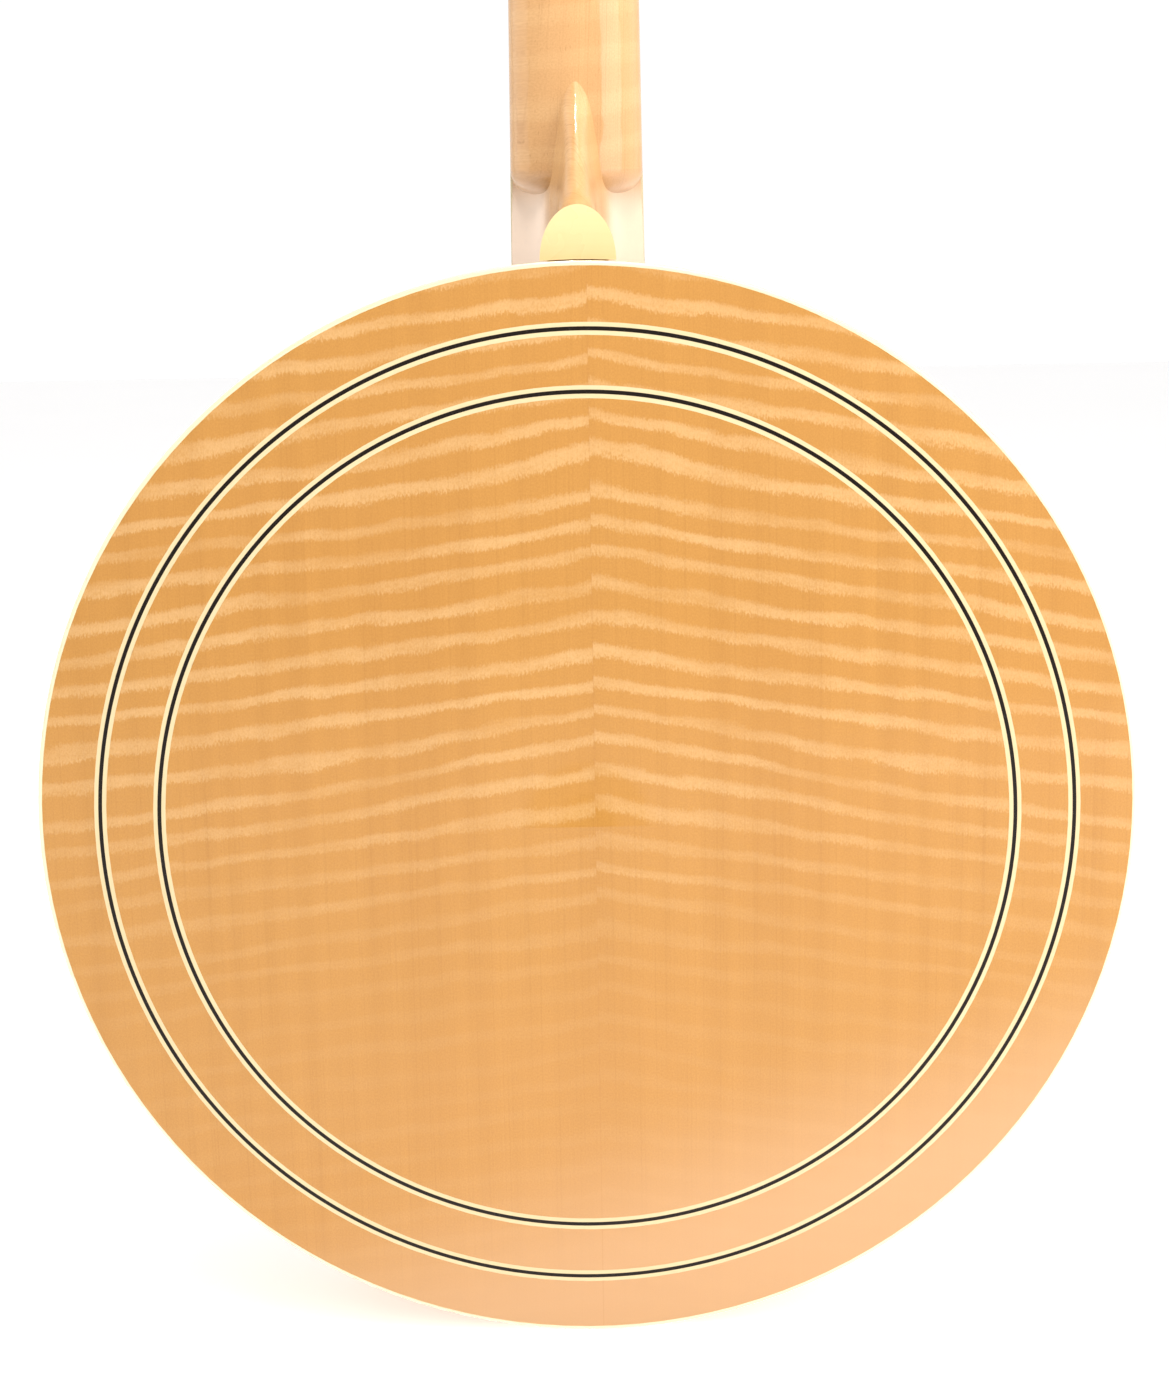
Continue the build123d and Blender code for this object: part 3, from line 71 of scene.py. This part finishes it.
# ---- Node graphs --------------------------------------------------------------------------
class Graph:
    """A material or a world being built: each method adds nodes and returns the socket to use next."""

    def __init__(self, name, world=False):
        self.owner = (bpy.data.worlds if world else bpy.data.materials).new(name)
        self.owner.use_nodes = True
        self.tree = self.owner.node_tree
        self.shader = self.tree.nodes["Background" if world else "Principled BSDF"]

    def feed(self, socket, value):
        if isinstance(value, bpy.types.NodeSocket):
            self.tree.links.new(value, socket)
        else:
            socket.default_value = value

    def node(self, kind, inputs=(), **settings):
        made = self.tree.nodes.new(kind)
        for key, value in settings.items():
            setattr(made, key, value)
        for key, value in dict(inputs).items():
            self.feed(made.inputs[key], value)
        return made

    def position(self):
        """The row-frame position as separate x, y and z sockets."""
        place = self.node("ShaderNodeTexCoord").outputs["Object"]
        split = self.node("ShaderNodeSeparateXYZ", {0: place})
        return split.outputs[0], split.outputs[1], split.outputs[2]

    def math(self, operation, a, b=0.0):
        return self.node("ShaderNodeMath", {0: a, 1: b}, operation=operation).outputs[0]

    def add(self, *terms):
        total = terms[0]
        for term in terms[1:]:
            total = self.math("ADD", total, term)
        return total

    def mul(self, *terms):
        total = terms[0]
        for term in terms[1:]:
            total = self.math("MULTIPLY", total, term)
        return total

    def vector(self, x, y, z):
        return self.node("ShaderNodeCombineXYZ", {0: x, 1: y, 2: z}).outputs[0]

    def noise(self, vector, scale=1.0, detail=3.0, roughness=0.5):
        inputs = {"Vector": vector, "Scale": scale, "Detail": detail, "Roughness": roughness}
        return self.node("ShaderNodeTexNoise", inputs).outputs["Fac"]

    def stretched(self, place, sx, sy, sz, detail=3.0, roughness=0.5):
        """Noise with its own frequency, per metre, along each axis."""
        x, y, z = place
        vector = self.vector(self.mul(x, sx), self.mul(y, sy), self.mul(z, sz))
        return self.noise(vector, 1.0, detail, roughness)

    def fit(self, value, low, high, to_low=0.0, to_high=1.0, smooth=False):
        kind = "SMOOTHSTEP" if smooth else "LINEAR"
        inputs = {"Value": value, "From Min": low, "From Max": high, "To Min": to_low, "To Max": to_high}
        return self.node("ShaderNodeMapRange", inputs, interpolation_type=kind).outputs["Result"]

    def mix(self, factor, a, b, blend="MIX"):
        made = self.node("ShaderNodeMix", data_type="RGBA", blend_type=blend)
        self.feed(made.inputs[0], factor)
        self.feed(made.inputs[6], a)
        self.feed(made.inputs[7], b)
        return made.outputs[2]

    def ramp(self, factor, stops):
        made = self.node("ShaderNodeValToRGB", {0: factor})
        ramp = made.color_ramp
        while len(ramp.elements) < len(stops):
            ramp.elements.new(0.5)
        for element, (place, colour) in zip(ramp.elements, stops):
            element.position = place
            element.color = (*colour, 1.0)
        return made.outputs[0]

    def bump(self, height, distance, strength=1.0):
        inputs = {"Height": height, "Distance": distance, "Strength": strength}
        made = self.node("ShaderNodeBump", inputs)
        self.feed(self.shader.inputs["Normal"], made.outputs[0])

    def finish(self, colour, roughness, **constants):
        """Connects colour and roughness; every other value is set on the shader's own socket."""
        self.feed(self.shader.inputs["Base Color"], colour)
        self.feed(self.shader.inputs["Roughness"], roughness)
        for key, value in constants.items():
            self.shader.inputs[key.replace("_", " ")].default_value = value
        return self.owner


def rgb(r, g, b):
    return (r, g, b, 1.0)


# ---- Flamed maple -------------------------------------------------------------------------
MAPLE_DARK = rgb(0.390, 0.183, 0.038)
MAPLE_LIGHT = rgb(0.480, 0.276, 0.104)


def lacquer(graph, place, colour, roughness=0.34, coat=1.0):
    """A gloss coat over stained wood: the coat is mirror-smooth, with a little orange peel under it."""
    peel = graph.noise(graph.vector(*place), 140.0, 2.0)
    graph.bump(peel, 0.00004, 0.5)
    rough = graph.fit(peel, 0.3, 0.7, roughness, roughness + 0.08)
    return graph.finish(colour, rough, Coat_Weight=coat, Coat_Roughness=0.035, Coat_IOR=1.5,
                        Specular_IOR_Level=0.1)


def figured(graph, across, along, strength, pitch):
    """Flame figure: soft light bars lying across the grain, which runs with along."""
    wander = graph.noise(graph.vector(graph.mul(across, 6.0), graph.mul(along, 26.0), 0.0), 1.0, 2.0)
    ripple = graph.noise(graph.vector(graph.mul(across, 60.0), graph.mul(along, 90.0), 3.0), 1.0, 2.0)
    grit = graph.noise(graph.vector(graph.mul(across, 1500.0), graph.mul(along, 700.0), 7.0), 1.0, 1.0)
    phase = graph.add(
        along,
        graph.fit(wander, 0.3, 0.7, -0.0030, 0.0030),
        graph.fit(ripple, 0.3, 0.7, -0.0009, 0.0009),
        graph.fit(grit, 0.3, 0.7, -0.0006, 0.0006),
    )
    wave = graph.math("SINE", graph.mul(phase, 2 * math.pi / pitch))
    bars = graph.fit(wave, -0.12, 0.92, 0.0, 1.0, smooth=True)
    bars = graph.mul(bars, graph.fit(grit, 0.35, 0.65, 0.78, 1.14))
    reach = graph.noise(graph.vector(graph.mul(across, 16.0), graph.mul(along, 62.0), 11.0), 1.0, 3.0, 0.6)
    return graph.mul(bars, graph.fit(reach, 0.30, 0.60, 0.30, 1.0), strength)


def grain_lines(graph, across, along, colour, depth=0.10):
    """Fine dark lines and broad faint streaks along the grain."""
    fine = graph.noise(graph.vector(graph.mul(across, 1400.0), graph.mul(along, 9.0), 0.0), 1.0, 2.0)
    streak = graph.noise(graph.vector(graph.mul(across, 120.0), graph.mul(along, 2.5), 5.0), 1.0, 3.0)
    fleck = graph.noise(graph.vector(graph.mul(across, 2600.0), graph.mul(along, 420.0), 9.0), 1.0, 1.0)
    lines = graph.fit(fine, 0.30, 0.46, 1.0 - depth, 1.0)
    broad = graph.fit(streak, 0.3, 0.7, 0.955, 1.035)
    flecks = graph.fit(fleck, 0.66, 0.76, 1.0, 1.0 - 1.3 * depth)
    grit = graph.noise(graph.vector(graph.mul(across, 1900.0), graph.mul(along, 1500.0), 13.0), 1.0, 2.0)
    shade = graph.mul(lines, broad, flecks, graph.fit(grit, 0.35, 0.65, 0.955, 1.045))
    tint = graph.node("ShaderNodeCombineColor", {0: shade, 1: graph.math("POWER", shade, 1.25),
                                                 2: graph.math("POWER", shade, 1.6)}).outputs[0]
    return graph.mix(1.0, colour, tint, "MULTIPLY")


def maple_back():
    """The back's two bookmatched halves, with the flame rising to the joint between them."""
    graph = Graph("maple_back")
    x, y, z = place = graph.position()
    offset = graph.math("SUBTRACT", x, SEAM_X)
    aside = graph.math("ABSOLUTE", offset)
    half = graph.math("GREATER_THAN", offset, 0.0)  # 1 on the +X half
    slope = graph.math("SUBTRACT", BACK_SLOPE, graph.mul(half, BACK_SLOPE_LESS))
    along = graph.add(z, graph.mul(aside, slope), graph.mul(half, BACK_SHIFT))
    fade = graph.fit(z, 0.105, 0.255, 0.12, 1.0, smooth=True)
    figure = figured(graph, graph.add(aside, graph.mul(half, 0.013)), along, fade, BACK_PITCH)
    colour = graph.mix(figure, MAPLE_DARK, MAPLE_LIGHT)
    colour = grain_lines(graph, aside, z, colour, 0.055)
    cloud = graph.noise(graph.vector(x, y, z), 9.0, 2.0)
    colour = graph.mix(graph.fit(cloud, 0.35, 0.65, 0.0, 0.10), colour, rgb(0.39, 0.16, 0.030))
    # Painted reflection: a pale haze of glare painted into the wood's colour over the lower edge, reaching
    # higher on the -X side.
    low = graph.fit(graph.add(z, graph.mul(x, 0.35)), 0.015, 0.088, 0.75, 0.0, smooth=True)
    colour = graph.mix(low, colour, rgb(0.460, 0.270, 0.135))
    seam = graph.fit(aside, 0.0, 0.00025, 0.22, 0.0)
    colour = graph.mix(seam, colour, rgb(0.30, 0.12, 0.03))
    return lacquer(graph, place, colour, coat=0.55)


def maple_neck():
    """Bars straight across the neck, and a painted glare that makes the heel's sides pale."""
    graph = Graph("maple_neck")
    x, y, z = place = graph.position()
    along = graph.add(z, graph.mul(x, 0.10), graph.mul(y, 0.15))
    figure = figured(graph, graph.add(x, graph.mul(y, 0.6)), along, 0.5, NECK_PITCH)
    colour = graph.mix(figure, rgb(0.505, 0.282, 0.114), rgb(0.565, 0.342, 0.154))
    colour = grain_lines(graph, graph.add(x, y), z, colour, 0.13)
    # Painted glare: the heel's sides are painted pale, more strongly on the +X side than on the -X side.
    beside = graph.fit(graph.math("ABSOLUTE", x), *HEEL_RIDGE, smooth=True)
    below = graph.fit(z, *HEEL_GLARE_FADE, 1.0, 0.0, smooth=True)
    pale = graph.mul(beside, below, graph.fit(x, -0.01, 0.01, 0.60, 0.85))
    colour = graph.mix(pale, colour, rgb(0.84, 0.69, 0.56))
    return lacquer(graph, place, colour, coat=0.6)


def around_axis(graph, place):
    """(arc length round the pot at the wall, radius) for a point."""
    x, y, z = place
    up = graph.math("SUBTRACT", z, POT_Z)
    arc = graph.mul(graph.math("ARCTAN2", x, up), WALL_R)
    radius = graph.math("SQRT", graph.add(graph.mul(x, x), graph.mul(up, up)))
    return arc, radius


def maple_wall():
    """The wall's grain runs round it, so its bars stand across from edge to edge."""
    graph = Graph("maple_wall")
    place = graph.position()
    y = place[1]
    arc = around_axis(graph, place)[0]
    along = graph.add(arc, graph.mul(y, 0.12))
    figure = figured(graph, y, along, 0.85, 2 * math.pi * WALL_R / WALL_BARS)
    colour = graph.mix(figure, rgb(0.450, 0.190, 0.042), rgb(0.570, 0.315, 0.110))
    colour = grain_lines(graph, y, arc, colour, 0.12)
    return lacquer(graph, place, colour)


def maple_rim():
    """Three bent plies, glued: the joints show as thin dark lines in the back edge."""
    graph = Graph("maple_rim")
    place = graph.position()
    y = place[1]
    arc, radius = around_axis(graph, place)
    ply = graph.math("FRACT", graph.mul(graph.math("SUBTRACT", radius, RIM_IN), 1 / PLY))
    from_middle = graph.math("ABSOLUTE", graph.math("SUBTRACT", ply, 0.5))
    joint = graph.fit(from_middle, 0.455, 0.495, 0.0, 0.75)
    layer = graph.stretched((radius, y, arc), 90.0, 30.0, 4.0)
    colour = graph.mix(graph.fit(layer, 0.3, 0.7), rgb(0.42, 0.215, 0.085), rgb(0.60, 0.36, 0.165))
    colour = grain_lines(graph, graph.add(y, radius), arc, colour, 0.16)
    colour = graph.mix(joint, colour, rgb(0.16, 0.07, 0.025))
    return lacquer(graph, place, colour, 0.42)


def maple_bridge():
    graph = Graph("maple_bridge")
    x, y, z = place = graph.position()
    figure = figured(graph, y, x, 0.35, BRIDGE_PITCH)
    colour = graph.mix(figure, rgb(0.58, 0.37, 0.19), rgb(0.72, 0.52, 0.32))
    colour = grain_lines(graph, y, x, colour, 0.2)
    grain = graph.stretched(place, 60.0, 900.0, 900.0)
    graph.bump(grain, 0.00005, 0.6)
    return graph.finish(colour, graph.fit(grain, 0.3, 0.7, 0.48, 0.62))


# ---- Plastics, shell and bone -------------------------------------------------------------
def celluloid(name, colour, streak, lines=0.5):
    """Grained celluloid: faint lengthwise lines under a polished surface."""
    graph = Graph(name)
    place = graph.position()
    arc, radius = around_axis(graph, place)
    layer = graph.stretched((place[1], radius, arc), 700.0, 700.0, 12.0, 2.0)
    soft = graph.noise(graph.vector(*place), 60.0, 2.0)
    factor = graph.mul(graph.fit(layer, 0.35, 0.65), lines)
    tone = graph.mix(factor, colour, streak)
    tone = graph.mix(graph.fit(soft, 0.35, 0.7, 0.0, 0.25), tone, streak)
    graph.bump(layer, 0.00001, 0.4)
    rough = graph.fit(soft, 0.3, 0.7, 0.22, 0.32)
    return graph.finish(tone, rough, Coat_Weight=0.6, Coat_Roughness=0.06)


def ring_cream():
    """The rings' cream lines, black beside the black inlay so that its line is as wide as photographed."""
    graph = Graph("inlay_cream")
    place = graph.position()
    arc, radius = around_axis(graph, place)
    layer = graph.stretched((place[1], radius, arc), 700.0, 700.0, 12.0, 2.0)
    streak = graph.fit(layer, 0.35, 0.65, 0.0, 0.35)
    tone = graph.mix(streak, rgb(0.56, 0.45, 0.265), rgb(0.52, 0.39, 0.21))
    for ring in RING_RADII:
        aside = graph.math("ABSOLUTE", graph.math("SUBTRACT", radius, ring))
        tone = graph.mix(graph.fit(aside, *RING_BLACK, 1.0, 0.0), tone, rgb(0.010, 0.006, 0.004))
    graph.bump(layer, 0.00001, 0.4)
    return graph.finish(tone, graph.fit(layer, 0.3, 0.7, 0.24, 0.34), Coat_Weight=0.1, Coat_Roughness=0.06,
                        Specular_IOR_Level=0.1)


def gloss_black(name, colour, coat=0.7, specular=0.2):
    graph = Graph(name)
    place = graph.position()
    dust = graph.noise(graph.vector(*place), 900.0, 2.0)
    smear = graph.noise(graph.vector(*place), 35.0, 3.0)
    tone = graph.mix(graph.fit(dust, 0.62, 0.8, 0.0, 0.3), colour, rgb(0.05, 0.045, 0.04))
    graph.bump(smear, 0.00003, 0.3)
    return graph.finish(tone, graph.fit(smear, 0.3, 0.7, 0.16, 0.30), Coat_Weight=coat, Coat_Roughness=0.05,
                        Specular_IOR_Level=specular)


def pearl(name, base, warm, cool, scale=260.0):
    """Shell: layered bands that turn from warm to cool."""
    graph = Graph(name)
    x, y, z = graph.position()
    bent = graph.noise(graph.vector(x, y, z), 70.0, 3.0)
    layers = graph.vector(x, graph.mul(y, 0.6), graph.add(z, graph.mul(bent, 0.012)))
    swirl = graph.noise(layers, scale, 4.0, 0.6)
    bands = graph.fit(graph.math("SINE", graph.mul(swirl, 22.0)), -1.0, 1.0)
    tone = graph.ramp(bands, [(0.0, warm), (0.5, base), (1.0, cool)])
    graph.bump(swirl, 0.00004, 0.3)
    return graph.finish(tone, graph.fit(swirl, 0.3, 0.7, 0.12, 0.28), Coat_Weight=1.0, Coat_Roughness=0.04,
                        Sheen_Weight=0.15)


def bone():
    graph = Graph("bone")
    place = graph.position()
    pores = graph.stretched(place, 300.0, 2200.0, 2200.0, 2.0)
    cloud = graph.noise(graph.vector(*place), 180.0, 2.0)
    tone = graph.mix(graph.fit(cloud, 0.3, 0.7), rgb(0.80, 0.74, 0.58), rgb(0.87, 0.83, 0.70))
    tone = graph.mix(graph.fit(pores, 0.64, 0.74, 0.0, 0.5), tone, rgb(0.55, 0.44, 0.28))
    graph.bump(pores, 0.00003, 0.4)
    return graph.finish(tone, graph.fit(cloud, 0.3, 0.7, 0.25, 0.38), Coat_Weight=0.3, Coat_Roughness=0.15)


def ebony():
    """Near-black wood with brown streaks and open pores along the grain."""
    graph = Graph("ebony")
    place = graph.position()
    streak = graph.stretched(place, 260.0, 260.0, 7.0, 4.0, 0.6)
    pores = graph.stretched(place, 2600.0, 2600.0, 110.0, 1.0)
    brown = graph.fit(streak, 0.42, 0.75, 0.0, 0.8)
    tone = graph.mix(brown, rgb(0.012, 0.010, 0.009), rgb(0.050, 0.030, 0.020))
    tone = graph.mix(graph.fit(pores, 0.62, 0.74, 0.0, 0.7), tone, rgb(0.004, 0.003, 0.003))
    graph.bump(graph.fit(pores, 0.60, 0.72, 1.0, 0.0), 0.00005, 0.6)
    return graph.finish(tone, graph.fit(streak, 0.3, 0.7, 0.30, 0.44), Specular_IOR_Level=0.55)


def head_film():
    """Frosted film: an even white spray coat with a fine tooth, rubbed a little where it is played."""
    graph = Graph("head_film")
    x, y, z = graph.position()
    tooth = graph.noise(graph.vector(x, y, z), 2600.0, 2.0)
    cloud = graph.noise(graph.vector(x, y, z), 16.0, 4.0)
    tone = graph.mix(graph.fit(cloud, 0.35, 0.65), rgb(0.61, 0.60, 0.565), rgb(0.665, 0.66, 0.64))
    rub = graph.noise(graph.vector(graph.mul(x, 40.0), y, graph.mul(z, 14.0)), 1.0, 4.0, 0.65)
    away = graph.math("ABSOLUTE", graph.math("SUBTRACT", z, PLAYED_Z))
    played = graph.fit(away, 0.0, 0.055, 1.0, 0.0, smooth=True)
    worn = graph.mul(graph.fit(rub, 0.52, 0.72, 0.0, 0.35), played)
    tone = graph.mix(worn, tone, rgb(0.49, 0.475, 0.435))
    graph.bump(tooth, 0.00005, 0.7)
    return graph.finish(tone, graph.fit(cloud, 0.3, 0.7, 0.50, 0.62))


# ---- Metals -------------------------------------------------------------------------------
def plated(name, colour, dull, roughness=0.10, spread=0.16, brushed=None):
    """Plated or polished metal: bright areas and faint haze, with hairlines or with brushed lines.

    brushed holds the brushed lines' frequency, per metre, along each axis."""
    graph = Graph(name)
    place = graph.position()
    haze = graph.noise(graph.vector(*place), 55.0, 4.0, 0.6)
    fine = graph.noise(graph.vector(*place), 700.0, 3.0, 0.7)
    tone = graph.mix(graph.fit(haze, 0.38, 0.72), colour, dull)
    tone = graph.mix(graph.fit(fine, 0.66, 0.80, 0.0, 0.35), tone, dull)
    rough = graph.add(graph.fit(haze, 0.35, 0.75, roughness, roughness + spread),
                      graph.fit(fine, 0.5, 0.8, 0.0, 0.05))
    if brushed:
        lines = graph.stretched(place, *brushed, 2.0)
        graph.bump(lines, 0.00003, 0.5)
    else:
        graph.bump(fine, 0.00001, 0.3)
    return graph.finish(tone, rough, Metallic=1.0)


def wound():
    """The bass string's winding, as fine turns along the neck."""
    graph = Graph("string_wound")
    x, y, z = graph.position()
    turns = graph.math("SINE", graph.mul(z, 2 * math.pi / WINDING_PITCH))
    haze = graph.noise(graph.vector(x, y, z), 90.0, 2.0)
    tone = graph.mix(graph.fit(haze, 0.3, 0.7), rgb(0.62, 0.43, 0.24), rgb(0.74, 0.55, 0.33))
    graph.bump(turns, 0.00006, 0.8)
    return graph.finish(tone, graph.fit(haze, 0.3, 0.7, 0.22, 0.34), Metallic=1.0)


def dress(material, *names):
    """Gives a material to every slot of these CAD nodes or pieces."""
    for name in names:
        target = NODES[name] if isinstance(name, str) else name
        if not target.material_slots:
            target.data.materials.append(material)
        for slot in target.material_slots:
            slot.material = material


dress(maple_back(), "resonator_back")
dress(maple_wall(), "resonator_wall")
dress(maple_neck(), "neck")
dress(maple_rim(), "rim")
dress(maple_bridge(), "bridge")
dress(ebony(), "fingerboard", "bridge_top")
dress(celluloid("binding_cream", rgb(0.66, 0.60, 0.40), rgb(0.62, 0.53, 0.31)),
      "resonator_back_binding", "resonator_front_binding", "fingerboard_binding")
dress(ring_cream(), "ring_inlay_cream")
dress(celluloid("cap_cream", rgb(0.73, 0.63, 0.32), rgb(0.70, 0.58, 0.27), 0.25), "heel_cap")
dress(gloss_black("inlay_black", rgb(0.008, 0.005, 0.003), 0.08, 0.1), "ring_inlay_black")
dress(gloss_black("peghead_black", rgb(0.010, 0.009, 0.009)), "peghead_veneer")
dress(gloss_black("cover_black", rgb(0.016, 0.015, 0.015)), "truss_rod_cover")
dress(pearl("pearl", (0.72, 0.74, 0.72), (0.78, 0.66, 0.60), (0.55, 0.70, 0.70)), "fret_markers")
dress(pearl("button_pearl", (0.56, 0.52, 0.43), (0.60, 0.51, 0.37), (0.46, 0.49, 0.47), 120.0),
      "fifth_peg_button", *[f"tuner_button_{n}" for n in range(1, 5)])
dress(bone(), "nut", "fifth_string_nut")
dress(head_film(), "head_membrane")
NICKEL = plated("nickel", rgb(0.62, 0.60, 0.555), rgb(0.48, 0.455, 0.41))
dress(NICKEL, "tension_hoop", "bracket_hooks", "bracket_nuts", "flange", "wall_lugs", "truss_cover_screws",
      "tuner_cases", "tuner_bushings", "fifth_peg_case", "fifth_peg_post", "tailpiece_base",
      "tailpiece_cover", "tailpiece_bracket", "tailpiece_screw", "armrest_plate", "armrest_clamps",
      "armrest_screws",
      *[f"tuner_post_{n}" for n in range(1, 5)], *[f"thumb_screw_{n}" for n in range(1, 5)])
dress(plated("bronze", rgb(0.72, 0.47, 0.22), rgb(0.52, 0.32, 0.14), 0.14, 0.2), "tone_ring")
dress(plated("hoop_aluminium", rgb(0.62, 0.62, 0.63), rgb(0.50, 0.50, 0.51), 0.28, 0.15, (40, 900, 40)),
      "flesh_hoop")
dress(plated("steel", rgb(0.60, 0.60, 0.61), rgb(0.43, 0.43, 0.44), 0.24, 0.2, (500, 500, 25)),
      "coordinator_rods", "tail_screws", "neck_lag_bolts", "wall_lug_screws", "truss_rod", "tailpiece_pin")
dress(plated("fret_metal", rgb(0.66, 0.64, 0.59), rgb(0.54, 0.52, 0.47), 0.12, 0.14, (15, 900, 900)),
      "frets")
dress(plated("string_steel", rgb(0.80, 0.80, 0.80), rgb(0.62, 0.61, 0.60), 0.14, 0.14), "plain_strings")
dress(wound(), "wound_string")


# ---- Room ---------------------------------------------------------------------------------
def floor():
    """One large pale table top, with a soft glow."""
    mesh = bpy.data.meshes.new("floor")
    signs = [(-1, -1), (1, -1), (1, 1), (-1, 1)]
    corners = [(i * FLOOR_HALF, j * FLOOR_HALF, FLOOR_Z) for i, j in signs]
    mesh.from_pydata(corners, [], [(0, 1, 2, 3)])
    made = bpy.data.objects.new("floor", mesh)
    bpy.context.scene.collection.objects.link(made)
    graph = Graph("floor_white")
    place = graph.position()
    soft = graph.noise(graph.vector(*place), 1.5, 2.0)
    tone = graph.mix(soft, rgb(0.88, 0.88, 0.88), rgb(0.91, 0.91, 0.91))
    away = []
    for at, middle, size in zip(place, GLOW_PLACE, GLOW_SIZE):
        offset = graph.mul(graph.math("SUBTRACT", at, middle), 1 / size)
        away.append(graph.mul(offset, offset))
    spread = graph.add(*away)
    patch = graph.mul(graph.math("EXPONENT", graph.mul(spread, -1.0)), FLOOR_GLOW)
    graph.feed(graph.shader.inputs["Emission Strength"], graph.add(patch, FLOOR_BASE_GLOW))
    graph.shader.inputs["Emission Color"].default_value = rgb(1.0, 0.97, 0.96)
    dress(graph.finish(tone, 0.75), made)


def panel(name, place, target, size, power, colour=(1.0, 1.0, 1.0)):
    """A soft box: a rectangular light facing its target."""
    light = bpy.data.lights.new(name, "AREA")
    light.shape = "RECTANGLE"
    light.size, light.size_y = size
    light.energy = power
    light.color = colour
    made = bpy.data.objects.new(name, light)
    made.location = place
    aim = Vector(target) - Vector(place)
    made.rotation_euler = aim.to_track_quat("-Z", "Y").to_euler()
    bpy.context.scene.collection.objects.link(made)


def world():
    """Pale all round at eye level, with a darker band above it for gloss and plating to mirror."""
    graph = Graph("studio", world=True)
    bpy.context.scene.world = graph.owner
    aim = graph.node("ShaderNodeTexCoord").outputs["Generated"]
    x, y, z = graph.node("ShaderNodeSeparateXYZ", {0: aim}).outputs
    side = graph.add(graph.mul(x, DARK_SIDE[0]), graph.mul(y, DARK_SIDE[1]))
    band = graph.fit(side, -0.3, 0.8, 0.75, 0.15, smooth=True)
    band = graph.add(band, graph.fit(z, 0.85, 0.97, 0.0, 0.9))
    high = graph.fit(z, 0.20, 0.42, smooth=True)
    level = graph.mul(graph.math("SUBTRACT", 1.0, high), SKY_WHITE)
    graph.feed(graph.shader.inputs["Strength"], graph.add(level, graph.mul(high, band)))
    graph.shader.inputs["Color"].default_value = rgb(1.0, 1.0, 1.0)


def camera():
    """Behind the instrument, as high as the top of the resonator, looking slightly down."""
    data = bpy.data.cameras.new("camera")
    data.sensor_width = SENSOR
    data.lens = LENS
    data.clip_start = 0.01
    right, up = Vector(CAMERA_RIGHT), Vector(CAMERA_UP)
    back = right.cross(up)
    made = bpy.data.objects.new("camera", data)
    basis = Matrix((right, up, back)).transposed().to_4x4()
    made.matrix_world = Matrix.Translation(CAMERA_PLACE) @ basis
    bpy.context.scene.collection.objects.link(made)
    bpy.context.scene.camera = made


floor()
world()
panel("key_top", (-0.7, 0.8, 2.4), (0.0, 0.1, 0.1), (1.8, 1.2), 15.0)
panel("edge_left", (1.3, -0.12, 0.75), (0.0, 0.0, 0.42), (1.3, 1.6), 8.0)
panel("edge_right", (-1.3, -0.12, 0.75), (0.0, 0.0, 0.42), (1.3, 1.6), 8.0, (1.0, 0.93, 0.92))
panel("side_right", (-1.15, 0.95, 0.5), (0.0, 0.0, 0.2), (0.9, 1.3), 15.0, (1.0, 0.97, 0.96))
panel("floor_pool", (0.0, 0.5, 1.6), (0.0, 0.32, 0.0), (0.4, 0.2), 20.0)
camera()
bpy.context.scene.view_settings.view_transform = "Standard"
